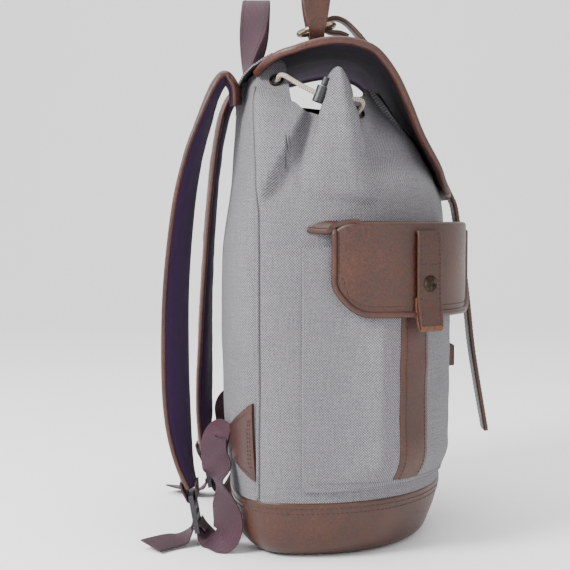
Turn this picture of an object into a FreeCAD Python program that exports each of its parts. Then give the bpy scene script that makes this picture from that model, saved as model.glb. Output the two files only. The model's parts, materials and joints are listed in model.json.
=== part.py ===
import FreeCAD, Part
import math
import os
import Sketcher

V = FreeCAD.Vector
doc = FreeCAD.newDocument("TravelBackpack")

# ---------------------------------------------------------------- sizes
sheet = doc.addObject("Spreadsheet::Sheet", "Sizes")
SIZES = [
    ("body_half_width", 145.0),
    ("front_y", -95.5),
    ("back_y", 99.0),
    ("wide_y", 30.0),
    ("seam_y", 66.0),
    ("cloth", 2.4),
    ("tub_top", 47.0),
    ("hem_top", 383.0),
    ("bottom_thick", 2.4),
    ("board_thick", 2.5),
    ("board_low", 3.2),
    ("pocket_low", 58.0),
    ("pocket_top", 250.0),
    ("pocket_bulge", 17.0),
    ("flap_radius", 90.0),
    ("flap_thick", 3.0),
    ("flap_low", 197.0),
    ("flap_fold", 268.8),
    ("lid_half", 122.0),
    ("lid_skin", 2.2),
    ("web_wide", 25.0),
    ("web_thick", 1.6),
    ("strap_wide", 45.0),
    ("strap_thick", 8.0),
    ("lid_strap_thick", 3.6),
    ("ring_radius", 16.1),
    ("ring_wire", 2.3),
    ("ring_y", 16.5),
    ("ring_high", 440.2),
    ("ring_tilt", 14.0),
    ("snap_radius", 6.5),
    ("snap_dome", 3.0),
    ("stud_radius", 3.0),
    ("lock_wide", 10.0),
    ("lock_high", 13.0),
    ("lock_bore", 2.5),
    ("plunger_radius", 2.9),
    ("plunger_long", 6.5),
    ("plunger_well", 3.3),
    ("cord_radius", 2.0),
    ("buckle_long", 32.0),
    ("buckle_wide", 31.0),
    ("buckle_thick", 4.0),
    ("slot_wide", 26.0),
    ("slot_long", 5.0),
    ("eyelet_radius", 5.0),
    ("eyelet_wire", 1.3),
]
for row, (name, value) in enumerate(SIZES, 1):
    sheet.set("A%d" % row, name)
    sheet.set("B%d" % row, str(value))
    sheet.setAlias("B%d" % row, name)
doc.recompute()


def S(name):
    return float(sheet.get(name))


parts = []  # (node name, document object)


def keep(obj, label):
    obj.Label = label
    parts.append((label, obj))
    return obj


def feature(label, shape):
    obj = doc.addObject("Part::Feature", label)
    obj.Shape = shape
    obj.Placement = FreeCAD.Placement()
    return keep(obj, label)


# ------------------------------------------------- the bag's outer surface
# height, half width, front y, back y
LEVELS = [
    (0.0, 122.0, -74.0, 72.0),
    (6.0, 131.0, -80.0, 80.0),
    (16.0, 138.0, -84.0, 86.5),
    (30.0, 142.0, -89.0, 89.5),
    (47.0, 143.5, -92.5, 91.5),
    (85.0, 145.0, -94.2, 96.0),
    (130.0, 145.0, -95.0, 99.0),
    (240.0, 145.0, -95.5, 99.0),
    (290.0, 144.0, -93.0, 92.0),
    (330.0, 133.0, -75.0, 87.5),
    (360.0, 114.0, -52.0, 84.5),
    (390.0, 90.0, -31.0, 79.0),
]
SCALE_W = S("body_half_width") / 145.0
SCALE_F = S("front_y") / -95.5
SCALE_B = S("back_y") / 99.0


def level(z):
    rows = LEVELS
    if z <= rows[0][0]:
        return [rows[0][1] * SCALE_W, rows[0][2] * SCALE_F, rows[0][3] * SCALE_B]
    for a, b in zip(rows, rows[1:]):
        if z <= b[0]:
            f = (z - a[0]) / (b[0] - a[0])
            v = [a[k] + f * (b[k] - a[k]) for k in (1, 2, 3)]
            return [v[0] * SCALE_W, v[1] * SCALE_F, v[2] * SCALE_B]
    return [rows[-1][1] * SCALE_W, rows[-1][2] * SCALE_F, rows[-1][3] * SCALE_B]


def power(v, n):
    return math.copysign(abs(v) ** (2.0 / n), v)


def outline(t, z, off=0.0):
    """A point of the bag's outer surface at height z; t runs round from +X
    through the back (+Y), the left side (pi) and the front."""
    w, yf, yb = level(z)
    yc = S("wide_y")

    def at(a):
        c, s = math.cos(a), math.sin(a)
        n = 3.2 if s > 0 else 2.15
        depth = (yb - yc) if s > 0 else (yc - yf)
        return V(w * power(c, n), yc + depth * power(s, n), 0)

    p = at(t)
    q = at(t + 0.01) - at(t - 0.01)
    n = V(q.y, -q.x, 0)
    n.normalize()
    return V(p.x + n.x * off, p.y + n.y * off, z)


def t_of_y(y, z, left=True):
    """The parameter on the back quarter of the left side where the outline
    has that y."""
    lo, hi = math.pi / 2, math.pi
    for _ in range(40):
        mid = (lo + hi) / 2
        if outline(mid, z).y > y:
            lo = mid
        else:
            hi = mid
    return (lo + hi) / 2


def spline(pts):
    c = Part.BSplineCurve()
    c.interpolate(pts)
    return c.toShape()


def band(z, t0, t1, out_off, in_off, count):
    """A closed thin wire along the surface at height z, from t0 to t1."""
    ts = [t0 + (t1 - t0) * k / (count - 1) for k in range(count)]
    fo = out_off if callable(out_off) else (lambda t, zz: out_off)
    fi = in_off if callable(in_off) else (lambda t, zz: in_off)
    outer = [outline(t, z, fo(t, z)) for t in ts]
    inner = [outline(t, z, fi(t, z)) for t in ts][::-1]
    return Part.Wire(
        [
            spline(outer),
            Part.makeLine(outer[-1], inner[0]),
            spline(inner),
            Part.makeLine(inner[-1], outer[0]),
        ]
    )


def bands(zs, span, out_off, in_off, count=17, ruled=True):
    wires = []
    for z in zs:
        t0, t1 = span(z) if callable(span) else span
        wires.append(band(z, t0, t1, out_off, in_off, count))
    return Part.makeLoft(wires, True, ruled)


def mirrored(shape):
    return shape.mirror(V(0, 0, 0), V(1, 0, 0))


def smooth(points, per):
    """Points along a Catmull-Rom line through the given points; each point
    is a list of numbers."""
    out = []
    n = len(points)
    for i in range(n - 1):
        p0 = points[max(i - 1, 0)]
        p1, p2 = points[i], points[i + 1]
        p3 = points[min(i + 2, n - 1)]
        for k in range(per):
            f = k / per
            out.append(
                [
                    0.5
                    * (
                        2 * b
                        + (c - a) * f
                        + (2 * a - 5 * b + 4 * c - d) * f * f
                        + (3 * b - a - 3 * c + d) * f * f * f
                    )
                    for a, b, c, d in zip(p0, p1, p2, p3)
                ]
            )
    out.append(list(points[-1]))
    return out


def ribbon(rows, thick, per=3, floor=None):
    """A flat strap. Each row is x, y, z, the width direction's x, y, z and
    the width."""
    rows = smooth(rows, per)
    mids = [V(*r[:3]) for r in rows]
    wires = []
    for i, r in enumerate(rows):
        a, b = mids[max(i - 1, 0)], mids[min(i + 1, len(rows) - 1)]
        tan = (b - a).normalize()
        side = V(*r[3:6])
        side = side - tan * side.dot(tan)
        side.normalize()
        nrm = tan.cross(side)
        h, w = thick / 2.0, r[6] / 2.0
        c = mids[i]
        corner = [
            c + side * w + nrm * h,
            c - side * w + nrm * h,
            c - side * w - nrm * h,
            c + side * w - nrm * h,
        ]
        if floor is not None:
            lift = max(0.0, floor - min(p.z for p in corner))
            corner = [p + V(0, 0, lift) for p in corner]
        wires.append(Part.makePolygon(corner + [corner[0]]))
    solid = Part.makeLoft(wires, True, True)
    if solid.Volume < 0:
        solid.reverse()
    return solid


PI = math.pi
CL = S("cloth")

# --------------------------------------------------------------- the shell
BODY_Z = [47.3, 85, 130, 185, 240, 290, 330, 360, S("hem_top")]


def seam_t(z):
    return t_of_y(S("seam_y"), z)


feature(
    "front_panel",
    bands(BODY_Z, lambda z: (seam_t(z) + 0.004, 3 * PI - seam_t(z) - 0.004), 0.0, -CL, 33),
)
feature(
    "back_panel",
    bands(
        [0.3, 6, 16, 30, 47, 85, 130, 185, 240, 290, 330, 360, S("hem_top")],
        lambda z: (PI - seam_t(z) + 0.004, seam_t(z) - 0.004),
        0.0,
        -CL,
        19,
    ),
)
feature(
    "base_tub",
    bands(
        [2.8, 6, 16, 30, S("tub_top")],
        lambda z: (seam_t(z) + 0.004, 3 * PI - seam_t(z) - 0.004),
        0.8,
        -1.6,
        33,
    ),
)

# the two soft side seams, piped
for side in (-1, 1):
    shape = bands(
        [50, 85, 130, 185, 240, 290, 330, 360, 381],
        lambda z: (seam_t(z) - 0.012, seam_t(z) + 0.012),
        1.9,
        0.25,
        3,
    )
    if side > 0:
        shape = mirrored(shape)
    feature("side_seam_left" if side < 0 else "side_seam_right", shape)

# the lining hangs inside the cloth
feature(
    "lining_bag",
    bands(
        [9, 16, 30, 47, 85, 130, 185, 240, 290, 330, 360, S("hem_top") - 3],
        (0.02, 2 * PI - 0.02),
        -CL - 0.4,
        -CL - 1.4,
        49,
    ),
)


def plan_wire(z, off, count=48):
    pts = [outline(2 * PI * k / count, z, off) for k in range(count)]
    for p in pts:
        p.z = 0
    c = Part.BSplineCurve()
    c.interpolate(pts, PeriodicFlag=True)
    return Part.Wire([c.toShape()])


def slab(label, off, low_cell, thick_cell):
    """A flat D-shaped sheet: a closed outline face, extruded by a bound
    length and lifted by a bound height."""
    face = doc.addObject("Part::Feature", label + "_outline")
    face.Shape = Part.Face(plan_wire(0.0, off))
    ext = doc.addObject("Part::Extrusion", label + "_solid")
    ext.Base = face
    ext.DirMode = "Custom"
    ext.Dir = V(0, 0, 1)
    ext.Solid = True
    ext.setExpression("LengthFwd", "Sizes." + thick_cell)
    if low_cell:
        ext.setExpression("Placement.Base.z", "Sizes." + low_cell)
    return keep(ext, label)


slab("base_bottom", -CL - 0.3, None, "bottom_thick")
slab("base_board", -7.0, "board_low", "board_thick")

# ------------------------------------------------------------- the pockets
POCKET_T = (PI + 0.005, PI + 1.25)


def bulge(t, z):
    f = (t - POCKET_T[0]) / (POCKET_T[1] - POCKET_T[0])
    across = max(0.0, 1 - abs(2 * f - 1) ** 4.0) * min(1.0, max(0.0, f / 0.33)) ** 3.0
    low = min(1.0, max(0.0, (z - S("pocket_low")) / 26.0))
    up = math.sin(low * PI / 2) ** 0.8
    return 0.4 + CL + (S("pocket_bulge") - CL) * across * up


POCKET_Z = [S("pocket_low"), S("pocket_low") + 3, S("pocket_low") + 8, S("pocket_low") + 15, 84, 120, 180, S("pocket_top")]
pocket = bands(
    POCKET_Z, POCKET_T, bulge, lambda t, z: bulge(t, z) - CL + 0.1, 21
)
STRIP_T = 0.64


def strip_span(z):
    return (PI + STRIP_T - 0.105, PI + STRIP_T + 0.105)


strip = bands(
    [66, 72, 84, 120, 180, S("pocket_top")],
    strip_span,
    lambda t, z: bulge(t, z) + 1.9,
    lambda t, z: bulge(t, z) + 0.3,
    5,
)
feature("pocket_body_left", pocket)
feature("pocket_body_right", mirrored(pocket))
feature("pocket_strip_left", strip)
feature("pocket_strip_right", mirrored(strip))

# ------------------------------------------------------- the pocket flaps
# the flap's fold is an arc in plan, centred inside the bag
FC = V(-64.3, -17.6, 0)
FR = S("flap_radius")
FT = S("flap_thick")
FDIR = math.atan2(-0.607, -0.795)
FSPAN = math.radians(52.6)


def on_flap(u, r, z):
    a = FDIR + u * FSPAN
    return V(FC.x + r * math.cos(a), FC.y + r * math.sin(a), z)


def flap_low(u):
    e = max(0.0, (abs(u) - 0.62) / 0.38)
    return S("flap_low") + 22.0 * e ** 2.4


def flap_top(u):
    e = max(0.0, (abs(u) - 0.80) / 0.20)
    return S("flap_fold") - 6.0 * e ** 2


def quad(a, b, c, d):
    return Part.makePolygon([a, b, c, d, a])


us = [-1 + 2 * k / 16.0 for k in range(17)]


def flap_part(r_in, r_out, low, high, rows=us):
    return Part.makeLoft(
        [
            quad(on_flap(u, r_in, low(u)), on_flap(u, r_out, low(u)), on_flap(u, r_out, high(u)), on_flap(u, r_in, high(u)))
            for u in rows
        ],
        True,
        True,
    )


flap = flap_part(FR - FT, FR, lambda u: flap_low(u) + 1.0, flap_top)
feature("flap_left", flap)
feature("flap_right", mirrored(flap))

# a piped leather edge round the flap's lower rim
binding = flap_part(
    FR - FT - 0.6, FR + 1.2, lambda u: flap_low(u) - 3.0, lambda u: flap_low(u) + 0.8
)
feature("flap_binding_left", binding)
feature("flap_binding_right", mirrored(binding))


# the ledge that joins the flap to the bag, sewn down
def ledge_inner(u):
    t = PI + 0.02 + (1.18 - 0.02) * (u + 1) / 2
    return outline(t, 266.0, 0.5)


wires = []
for u in us:
    a, b = ledge_inner(u), on_flap(u, FR - FT - 1.3, 0)
    lo = 266.0 - 6.0 * max(0.0, (abs(u) - 0.80) / 0.20) ** 2
    wires.append(
        quad(
            V(a.x, a.y, lo),
            V(b.x, b.y, lo),
            V(b.x, b.y, lo + FT),
            V(a.x, a.y, lo + FT),
        )
    )
ledge = Part.makeLoft(wires, True, True)
feature("flap_top_left", ledge)
feature("flap_top_right", mirrored(ledge))

# the tab that carries the snap, and its pull loop
FN = V(math.cos(FDIR), math.sin(FDIR), 0)
FT_DIR = V(-math.sin(FDIR), math.cos(FDIR), 0)
STRIP_ANGLE = math.radians(-4.0)
TN = V(math.cos(FDIR + STRIP_ANGLE), math.sin(FDIR + STRIP_ANGLE), 0)
TT = V(-TN.y, TN.x, 0)


def tab_point(r, z):
    return V(FC.x + TN.x * r, FC.y + TN.y * r, z)


def tab_row(r, z, w):
    p = tab_point(r, z)
    return [p.x, p.y, p.z, TT.x, TT.y, TT.z, w]


tab = ribbon(
    [
        tab_row(FR + 1.6, 267, 22),
        tab_row(FR + 1.9, 236, 22),
        tab_row(FR + 1.9, 212, 24),
        tab_row(FR + 2.6, 200, 24),
        tab_row(FR + 4.4, 187, 24),
    ],
    2.4,
    2,
)
feature("flap_tab_left", tab)
feature("flap_tab_right", mirrored(tab))


def turned(label, rows, base, axis):
    """A turned metal piece: a half profile revolved in a body of its own.
    Each row is a pair of sheet expressions, radius and height."""
    body = doc.addObject("PartDesign::Body", label + "_body")
    sk = body.newObject("Sketcher::SketchObject", label + "_profile")
    plane = [o for o in body.Origin.OriginFeatures if o.Role == "XZ_Plane"][0]
    sk.AttachmentSupport = [(plane, "")]
    sk.MapMode = "FlatFace"
    pts = []
    for re_, he in rows:
        r = eval_cell(re_)
        h = eval_cell(he)
        pts.append((r, h))
    n = len(pts)
    for i in range(n):
        a, b = pts[i], pts[(i + 1) % n]
        sk.addGeometry(Part.LineSegment(V(a[0], a[1], 0), V(b[0], b[1], 0)), False)
    for i in range(n):
        sk.addConstraint(Sketcher.Constraint("Coincident", i, 2, (i + 1) % n, 1))
    for i in range(n):
        re_, he = rows[i]
        if pts[i][0] == 0:
            sk.addConstraint(Sketcher.Constraint("PointOnObject", i, 1, -2))
        else:
            k = sk.addConstraint(Sketcher.Constraint("DistanceX", -1, 1, i, 1, pts[i][0]))
            if isinstance(re_, str):
                sk.setExpression("Constraints[%d]" % k, re_)
        if pts[i][1] == 0:
            sk.addConstraint(Sketcher.Constraint("PointOnObject", i, 1, -1))
        else:
            k = sk.addConstraint(Sketcher.Constraint("DistanceY", -1, 1, i, 1, pts[i][1]))
            if isinstance(he, str):
                sk.setExpression("Constraints[%d]" % k, he)
    rev = body.newObject("PartDesign::Revolution", label + "_turn")
    rev.Profile = sk
    rev.ReferenceAxis = (sk, ["V_Axis"])
    rev.Angle = 360.0
    body.Tip = rev
    body.Placement = FreeCAD.Placement(base, FreeCAD.Rotation(V(0, 0, 1), axis))
    return keep(body, label)


def eval_cell(e):
    """The number behind 'Sizes.name', 'Sizes.name * number' or a number."""
    if not isinstance(e, str):
        return float(e)
    bits = e.split(" * ")
    v = S(bits[0].replace("Sizes.", ""))
    return v * float(bits[1]) if len(bits) > 1 else v


SNAP_Z = 221.0
for side, sx in (("left", 1), ("right", -1)):
    nrm = V(TN.x * sx, TN.y, 0)

    def here(r):
        p = tab_point(r, SNAP_Z)
        return V(p.x * sx, p.y, p.z)

    turned(
        "snap_cap_" + side,
        [
            (0, 0),
            ("Sizes.snap_radius", 0),
            ("Sizes.snap_radius", "Sizes.snap_dome * 0.45"),
            ("Sizes.snap_radius * 0.8", "Sizes.snap_dome * 0.85"),
            ("Sizes.snap_radius * 0.45", "Sizes.snap_dome"),
            (0, "Sizes.snap_dome"),
        ],
        here(FR + 3.4),
        nrm,
    )
    turned(
        "snap_socket_" + side,
        [
            ("Sizes.stud_radius * 1.15", 0),
            ("Sizes.snap_radius * 0.85", 0),
            ("Sizes.snap_radius * 0.85", 2.6),
            ("Sizes.stud_radius * 1.15", 2.6),
        ],
        here(FR - FT - 2.8),
        nrm,
    )

# the stud on the pocket's strip, under the socket
def strip_face():
    r = 60.0
    while r < FR:
        p = tab_point(r, SNAP_Z)
        best = min(
            ((outline(PI + 0.4 + 0.002 * k, SNAP_Z) - p).Length, 0.4 + 0.002 * k)
            for k in range(250)
        )
        if best[0] > bulge(PI + best[1], SNAP_Z) + 2.1:
            return r
        r += 0.1
    return FR


STUD_AT = strip_face()
print("stud base radius", round(STUD_AT, 2))
for side, sx in (("left", 1), ("right", -1)):
    p = tab_point(STUD_AT + 0.2, SNAP_Z)
    tall = FR - FT - 2.8 + 1.2 - STUD_AT - 0.2
    turned(
        "snap_stud_" + side,
        [
            (0, 0),
            ("Sizes.snap_radius * 0.8", 0),
            ("Sizes.snap_radius * 0.8", 1.2),
            ("Sizes.stud_radius * 0.75", 1.6),
            ("Sizes.stud_radius * 0.75", tall - 1.6),
            ("Sizes.stud_radius", tall - 1.0),
            ("Sizes.stud_radius * 0.85", tall),
            (0, tall),
        ],
        V(p.x * sx, p.y, p.z),
        V(TN.x * sx, TN.y, 0),
    )

# ------------------------------------------------------------------ the lid
LID = [
    # y, z of the centre line, half width
    (69.0, 391.5, 90.0),
    (60.0, 402.0, 108.0),
    (45.0, 413.0, 119.0),
    (25.0, 420.0, 122.0),
    (5.0, 423.0, 122.0),
    (-15.0, 421.0, 121.0),
    (-34.0, 412.5, 118.0),
    (-50.0, 393.0, 111.0),
    (-62.0, 369.0, 101.0),
    (-73.0, 343.0, 88.0),
    (-87.0, 318.0, 74.0),
    (-93.0, 304.0, 62.0),
    (-97.5, 296.5, 50.0),
]
LID_SCALE = S("lid_half") / 122.0


def lid_rows(first=0.0, last=1.0, per=2):
    rows = smooth([list(r) for r in LID], per)
    n = len(rows) - 1
    return rows[int(round(first * n)) : int(round(last * n)) + 1]


def lid_normal(rows, i):
    a, b = rows[max(i - 1, 0)], rows[min(i + 1, len(rows) - 1)]
    dy, dz = b[0] - a[0], b[1] - a[1]
    d = math.hypot(dy, dz)
    n = (dz / d, -dy / d)
    return n if n[1] > 0 or abs(n[1]) < 0.2 and n[0] < 0 else (-n[0], -n[1])


def lid_point(rows, i, x, off):
    y, z = rows[i][0], rows[i][1]
    n = lid_normal(rows, i)
    far = math.hypot(y - rows[0][0], z - rows[0][1])
    drop = -8.5 * (x / 122.0) ** 2 * min(1.0, far / 35.0)
    return V(x, y + n[0] * (off + drop), z + n[1] * (off + drop))


def lid_sheet(high, low, shrink, first=0.0, last=1.0):
    rows = lid_rows(0, 1)
    n = len(rows) - 1
    wires = []
    for i in range(int(first * n), int(last * n) + 1):
        w = rows[i][2] * LID_SCALE - shrink
        xs = [-w + 2 * w * k / 6.0 for k in range(7)]
        top = [lid_point(rows, i, x, high) for x in xs]
        bot = [lid_point(rows, i, x, low) for x in xs][::-1]
        wires.append(Part.makePolygon(top + bot + [top[0]]))
    return Part.makeLoft(wires, True, True)


LS = S("lid_skin")
feature("lid_panel", lid_sheet(0.0, -LS, 3.0))
feature("lid_lining", lid_sheet(-LS - 0.3, -LS - 1.9, 3.4))


def lid_edge(sign):
    rows = lid_rows(0, 1)
    wires = []
    for i in range(len(rows)):
        w = rows[i][2] * LID_SCALE
        a = lid_point(rows, i, sign * (w - 2.8), 1.0)
        b = lid_point(rows, i, sign * (w + 0.6), 1.0)
        c = lid_point(rows, i, sign * (w + 0.6), -LS - 2.6)
        d = lid_point(rows, i, sign * (w - 2.8), -LS - 2.6)
        wires.append(quad(a, b, c, d))
    return Part.makeLoft(wires, True, True)


feature("lid_binding_left", lid_edge(-1))
feature("lid_binding_right", lid_edge(1))

# the tip's rounded end
rows = lid_rows(0, 1)
last = len(rows) - 1
tip_n = lid_normal(rows, last)
tip_t = V(0, rows[last][0] - rows[last - 1][0], rows[last][1] - rows[last - 1][1]).normalize()
tip = []
for k in range(9):
    f = -1 + 2 * k / 8.0
    x = f * (rows[last][2] - 3.2)
    out = 6.5 * (1 - f * f) ** 0.5 + 1.6
    a = lid_point(rows, last, x, 1.0) + tip_t * 0.4
    b = lid_point(rows, last, x, -LS - 2.6) + tip_t * 0.4
    tip.append(quad(a, a + tip_t * out, b + tip_t * out, b))
feature("lid_tip", Part.makeLoft(tip, True, True))

# the closing strap is sewn down the middle of the lid
top_rows = lid_rows(0, 1, 2)
ST = S("lid_strap_thick")
strap_rows = []
for y, z, w in [
    (-12.0, 434.0, 13.0),
    (-4.5, 437.0, 13.0),
    (4.0, 437.8, 13.0),
    (8.6, 440.5, 13.0),
    (9.2, 445.0, 13.0),
    (5.0, 449.0, 13.0),
    (-2.0, 449.8, 14.0),
    (-10.0, 446.0, 17.0),
    (-19.0, 437.0, 22.0),
    (-28.0, 426.0, 25.0),
]:
    strap_rows.append([0, y, z, 1, 0, 0, w])
for i, r in enumerate(top_rows):
    if r[0] < -33.0 and i % 2 == 0:
        p = lid_point(top_rows, i, 0, ST / 2 + 0.75)
        strap_rows.append([0, p.y, p.z, 1, 0, 0, 25.0])
feature("lid_strap", ribbon(strap_rows, ST, 2))
end = strap_rows[-1]

# the end of the closing strap hangs free over the lid's tip
edge_row = len(top_rows) - 1
LN = lid_normal(top_rows, edge_row)
LT = (
    top_rows[edge_row][0] - top_rows[edge_row - 1][0],
    top_rows[edge_row][1] - top_rows[edge_row - 1][1],
)
LL = math.hypot(*LT)
LT = (LT[0] / LL, LT[1] / LL)


def over_tip(along, out):
    y, z = top_rows[edge_row][:2]
    return [0, y + LN[0] * out + LT[0] * along, z + LN[1] * out + LT[1] * along, 1, 0, 0, 25.0]


tail_rows = [
    over_tip(1.8, 3.5),
    over_tip(9.0, 3.9),
    [0, -107.5, 281.0, 1, 0, 0, 25.0],
    [0, -110.5, 262.0, 1, 0, 0, 25.0],
    [0, -115.5, 228.0, 1, 0, 0, 25.0],
    [0, -119.5, 194.0, 1, 0, 0, 25.0],
    [0, -123.5, 158.0, 1, 0, 0, 25.0],
    [0, -130.0, 118.0, 1, 0, 0, 25.0],
    [0, -136.5, 82.0, 1, 0, 0, 25.0],
]
feature("strap_tail", ribbon(tail_rows, ST, 2))
print("strap tail starts at", [round(c, 2) for c in tail_rows[0][:3]])

# ------------------------------------------------- the ring and carry loop
ring = doc.addObject("Part::Torus", "lid_ring_torus")
ring.setExpression("Radius1", "Sizes.ring_radius")
ring.setExpression("Radius2", "Sizes.ring_wire")
ring.setExpression("Placement.Base.y", "Sizes.ring_y")
ring.setExpression("Placement.Base.z", "Sizes.ring_high")
ring.Placement.Rotation = FreeCAD.Rotation(V(1, 0, 0), -S("ring_tilt"))
keep(ring, "lid_ring")

RY, RZ, RR = S("ring_y"), S("ring_high"), S("ring_radius")
loop_rows = []
for x, z, w in [
    (-9.6, 10.0, 15.0),
    (-9.6, 2.0, 12.0),
    (-11.4, -6.0, 12.0),
    (-17.0, -9.2, 13.0),
    (-22.4, -4.0, 14.0),
    (-23.2, 6.0, 19.0),
    (-22.0, 26.0, 25.0),
    (-20.5, 52.0, 25.0),
    (-15.0, 74.0, 25.0),
    (0.0, 85.0, 25.0),
    (15.0, 74.0, 25.0),
    (20.5, 52.0, 25.0),
    (22.0, 26.0, 25.0),
    (23.2, 6.0, 19.0),
    (22.4, -4.0, 14.0),
    (17.0, -9.2, 13.0),
    (11.4, -6.0, 12.0),
    (9.6, 2.0, 12.0),
    (9.6, 10.0, 15.0),
]:
    loop_rows.append([x, RY + 0.02 * z, RZ + z, 0, 1, 0.2, w])
feature("carry_loop", ribbon(loop_rows, 3.0, 3))

# ------------------------------------------------------------ grab handle
handle = []
for x, y, z, dx, dy in [
    (-37.0, 77.6, 386.6, 1.0, 0.0),
    (-38.0, 77.4, 398.0, 0.95, 0.25),
    (-39.0, 75.0, 416.0, 0.75, 0.65),
    (-37.5, 72.0, 434.0, 0.3, 0.95),
    (-31.0, 70.5, 450.0, 0.0, 1.0),
    (-17.0, 69.8, 461.0, 0.0, 1.0),
    (0.0, 69.5, 464.0, 0.0, 1.0),
    (17.0, 69.8, 461.0, 0.0, 1.0),
    (31.0, 70.5, 450.0, 0.0, 1.0),
    (37.5, 72.0, 434.0, -0.3, 0.95),
    (39.0, 75.0, 416.0, -0.75, 0.65),
    (38.0, 77.4, 398.0, -0.95, 0.25),
    (37.0, 77.6, 386.6, -1.0, 0.0),
]:
    handle.append([x, y, z, dx, dy, 0.0, S("web_wide") - 1.0])
feature("grab_handle", ribbon(handle, 2.4, 3))

# a leather strip covers the seam where lid and handle are sewn on
HINGE = [(84.6, 362.0), (83.4, 370.0), (81.8, 379.0), (80.0, 383.8)]
feature(
    "hinge_strip",
    Part.makeLoft(
        [
            Part.makePolygon(
                [V(x, y + 0.2 - 2.2 * (x / 50.0) ** 4, z) for y, z in HINGE]
                + [V(x, y + 2.0 - 2.2 * (x / 50.0) ** 4, z + 0.4) for y, z in HINGE[::-1]]
                + [V(x, HINGE[0][0] + 0.2 - 2.2 * (x / 50.0) ** 4, HINGE[0][1])]
            )
            for x in (-49, -40, -28, 0, 28, 40, 49)
        ],
        True,
        True,
    ),
)


# -------------------------------------------------------- shoulder straps
def strap_shape(rows):
    return ribbon(rows, S("strap_thick"), 3)


SW = S("strap_wide")
near_rows = [
    [-72, 85.6, 366.0, 1, 0.0, 0.0, SW - 8],
    [-73, 86.8, 380.0, 1, 0.0, 0.0, SW - 6],
    [-74, 94.2, 388.6, 1, 0.0, 0.0, SW - 3],
    [-75, 103.0, 377.0, 1, 0.0, 0.0, SW],
    [-76, 112.0, 352.0, 1, -0.1, 0.0, SW],
    [-77.5, 121.0, 322.0, 1, -0.2, 0.0, SW],
    [-79, 129.0, 280.0, 1, -0.28, 0.0, SW],
    [-81, 135.0, 215.0, 1, -0.34, 0.0, SW],
    [-82, 136.0, 150.0, 1, -0.4, 0.0, SW - 2],
    [-82, 134.0, 105.0, 1, -0.42, 0.0, SW - 6],
    [-83, 129.5, 72.0, 1, -0.28, 0.0, SW - 10],
    [-84.5, 123.5, 48.0, 1, -0.02, 0.0, SW - 14],
]
far_rows = [
    [72, 85.6, 366.0, 1, 0.0, 0.0, SW - 8],
    [73, 86.8, 380.0, 1, 0.0, 0.0, SW - 6],
    [74, 94.2, 387.0, 1, 0.0, 0.0, SW - 3],
    [75, 102.0, 372.0, 1, 0.0, 0.0, SW],
    [76, 108.0, 345.0, 1, 0.0, 0.0, SW],
    [77.5, 112.5, 312.0, 1, 0.0, 0.0, SW],
    [79, 117.0, 262.0, 1, 0.0, 0.0, SW],
    [81, 120.5, 200.0, 1, -0.08, 0.0, SW],
    [82, 122.0, 150.0, 1, -0.16, 0.0, SW - 2],
    [82, 123.0, 108.0, 1, -0.25, 0.0, SW - 6],
    [83, 123.0, 76.0, 1, -0.24, 0.0, SW - 10],
    [84.5, 123.6, 50.0, 1, -0.02, 0.0, SW - 14],
]
feature("shoulder_strap_left", strap_shape(near_rows))
feature("shoulder_strap_right", strap_shape(far_rows))


# ------------------------------------------------ ladder locks and webbing
def ladder_lock(label, base, rotation):
    """A plastic three-bar buckle: a rounded plate with two slots."""
    body = doc.addObject("PartDesign::Body", label + "_body")
    plane = [o for o in body.Origin.OriginFeatures if o.Role == "XY_Plane"][0]

    def rectangle(name, x0, y0, x1, y1, names):
        sk = body.newObject("Sketcher::SketchObject", name)
        sk.AttachmentSupport = [(plane, "")]
        sk.MapMode = "FlatFace"
        pts = [(x0, y0), (x1, y0), (x1, y1), (x0, y1)]
        for i in range(4):
            a, b = pts[i], pts[(i + 1) % 4]
            sk.addGeometry(Part.LineSegment(V(a[0], a[1], 0), V(b[0], b[1], 0)), False)
        for i in range(4):
            sk.addConstraint(Sketcher.Constraint("Coincident", i, 2, (i + 1) % 4, 1))
        for i, kind in enumerate(["Horizontal", "Vertical", "Horizontal", "Vertical"]):
            sk.addConstraint(Sketcher.Constraint(kind, i))
        k = sk.addConstraint(Sketcher.Constraint("DistanceX", 0, 1, 0, 2, x1 - x0))
        sk.setExpression("Constraints[%d]" % k, names[0])
        k = sk.addConstraint(Sketcher.Constraint("DistanceY", 1, 1, 1, 2, y1 - y0))
        sk.setExpression("Constraints[%d]" % k, names[1])
        k = sk.addConstraint(Sketcher.Constraint("DistanceX", 0, 1, -1, 1, -x0))
        sk.setExpression("Constraints[%d]" % k, names[0] + " / 2")
        k = sk.addConstraint(Sketcher.Constraint("DistanceY", -1, 1, 0, 1, y0) if y0 > 0 else Sketcher.Constraint("DistanceY", 0, 1, -1, 1, -y0))
        if names[2]:
            sk.setExpression("Constraints[%d]" % k, names[2])
        return sk

    bw, bl, sw, sl = S("buckle_wide"), S("buckle_long"), S("slot_wide"), S("slot_long")
    plate = rectangle(label + "_plate", -bw / 2, -bl / 2, bw / 2, bl / 2, ("Sizes.buckle_wide", "Sizes.buckle_long", "Sizes.buckle_long / 2"))
    pad = body.newObject("PartDesign::Pad", label + "_pad")
    pad.Profile = plate
    pad.setExpression("Length", "Sizes.buckle_thick")
    doc.recompute()
    before = body.Shape.Volume
    for k, y0 in enumerate((-bl / 2 + 4.0, -sl / 2, bl / 2 - 4.0 - sl)):
        slot = rectangle(label + "_slot%d" % k, -sw / 2, y0, sw / 2, y0 + sl, ("Sizes.slot_wide", "Sizes.slot_long", None))
        cut = body.newObject("PartDesign::Pocket", label + "_cut%d" % k)
        cut.Profile = slot
        cut.Type = "ThroughAll"
        cut.Reversed = True
        doc.recompute()
        if body.Shape.Volume >= before - 1.0:
            cut.Reversed = False
            doc.recompute()
        before = body.Shape.Volume
    body.Placement = FreeCAD.Placement(base, rotation)
    return keep(body, label)


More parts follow.
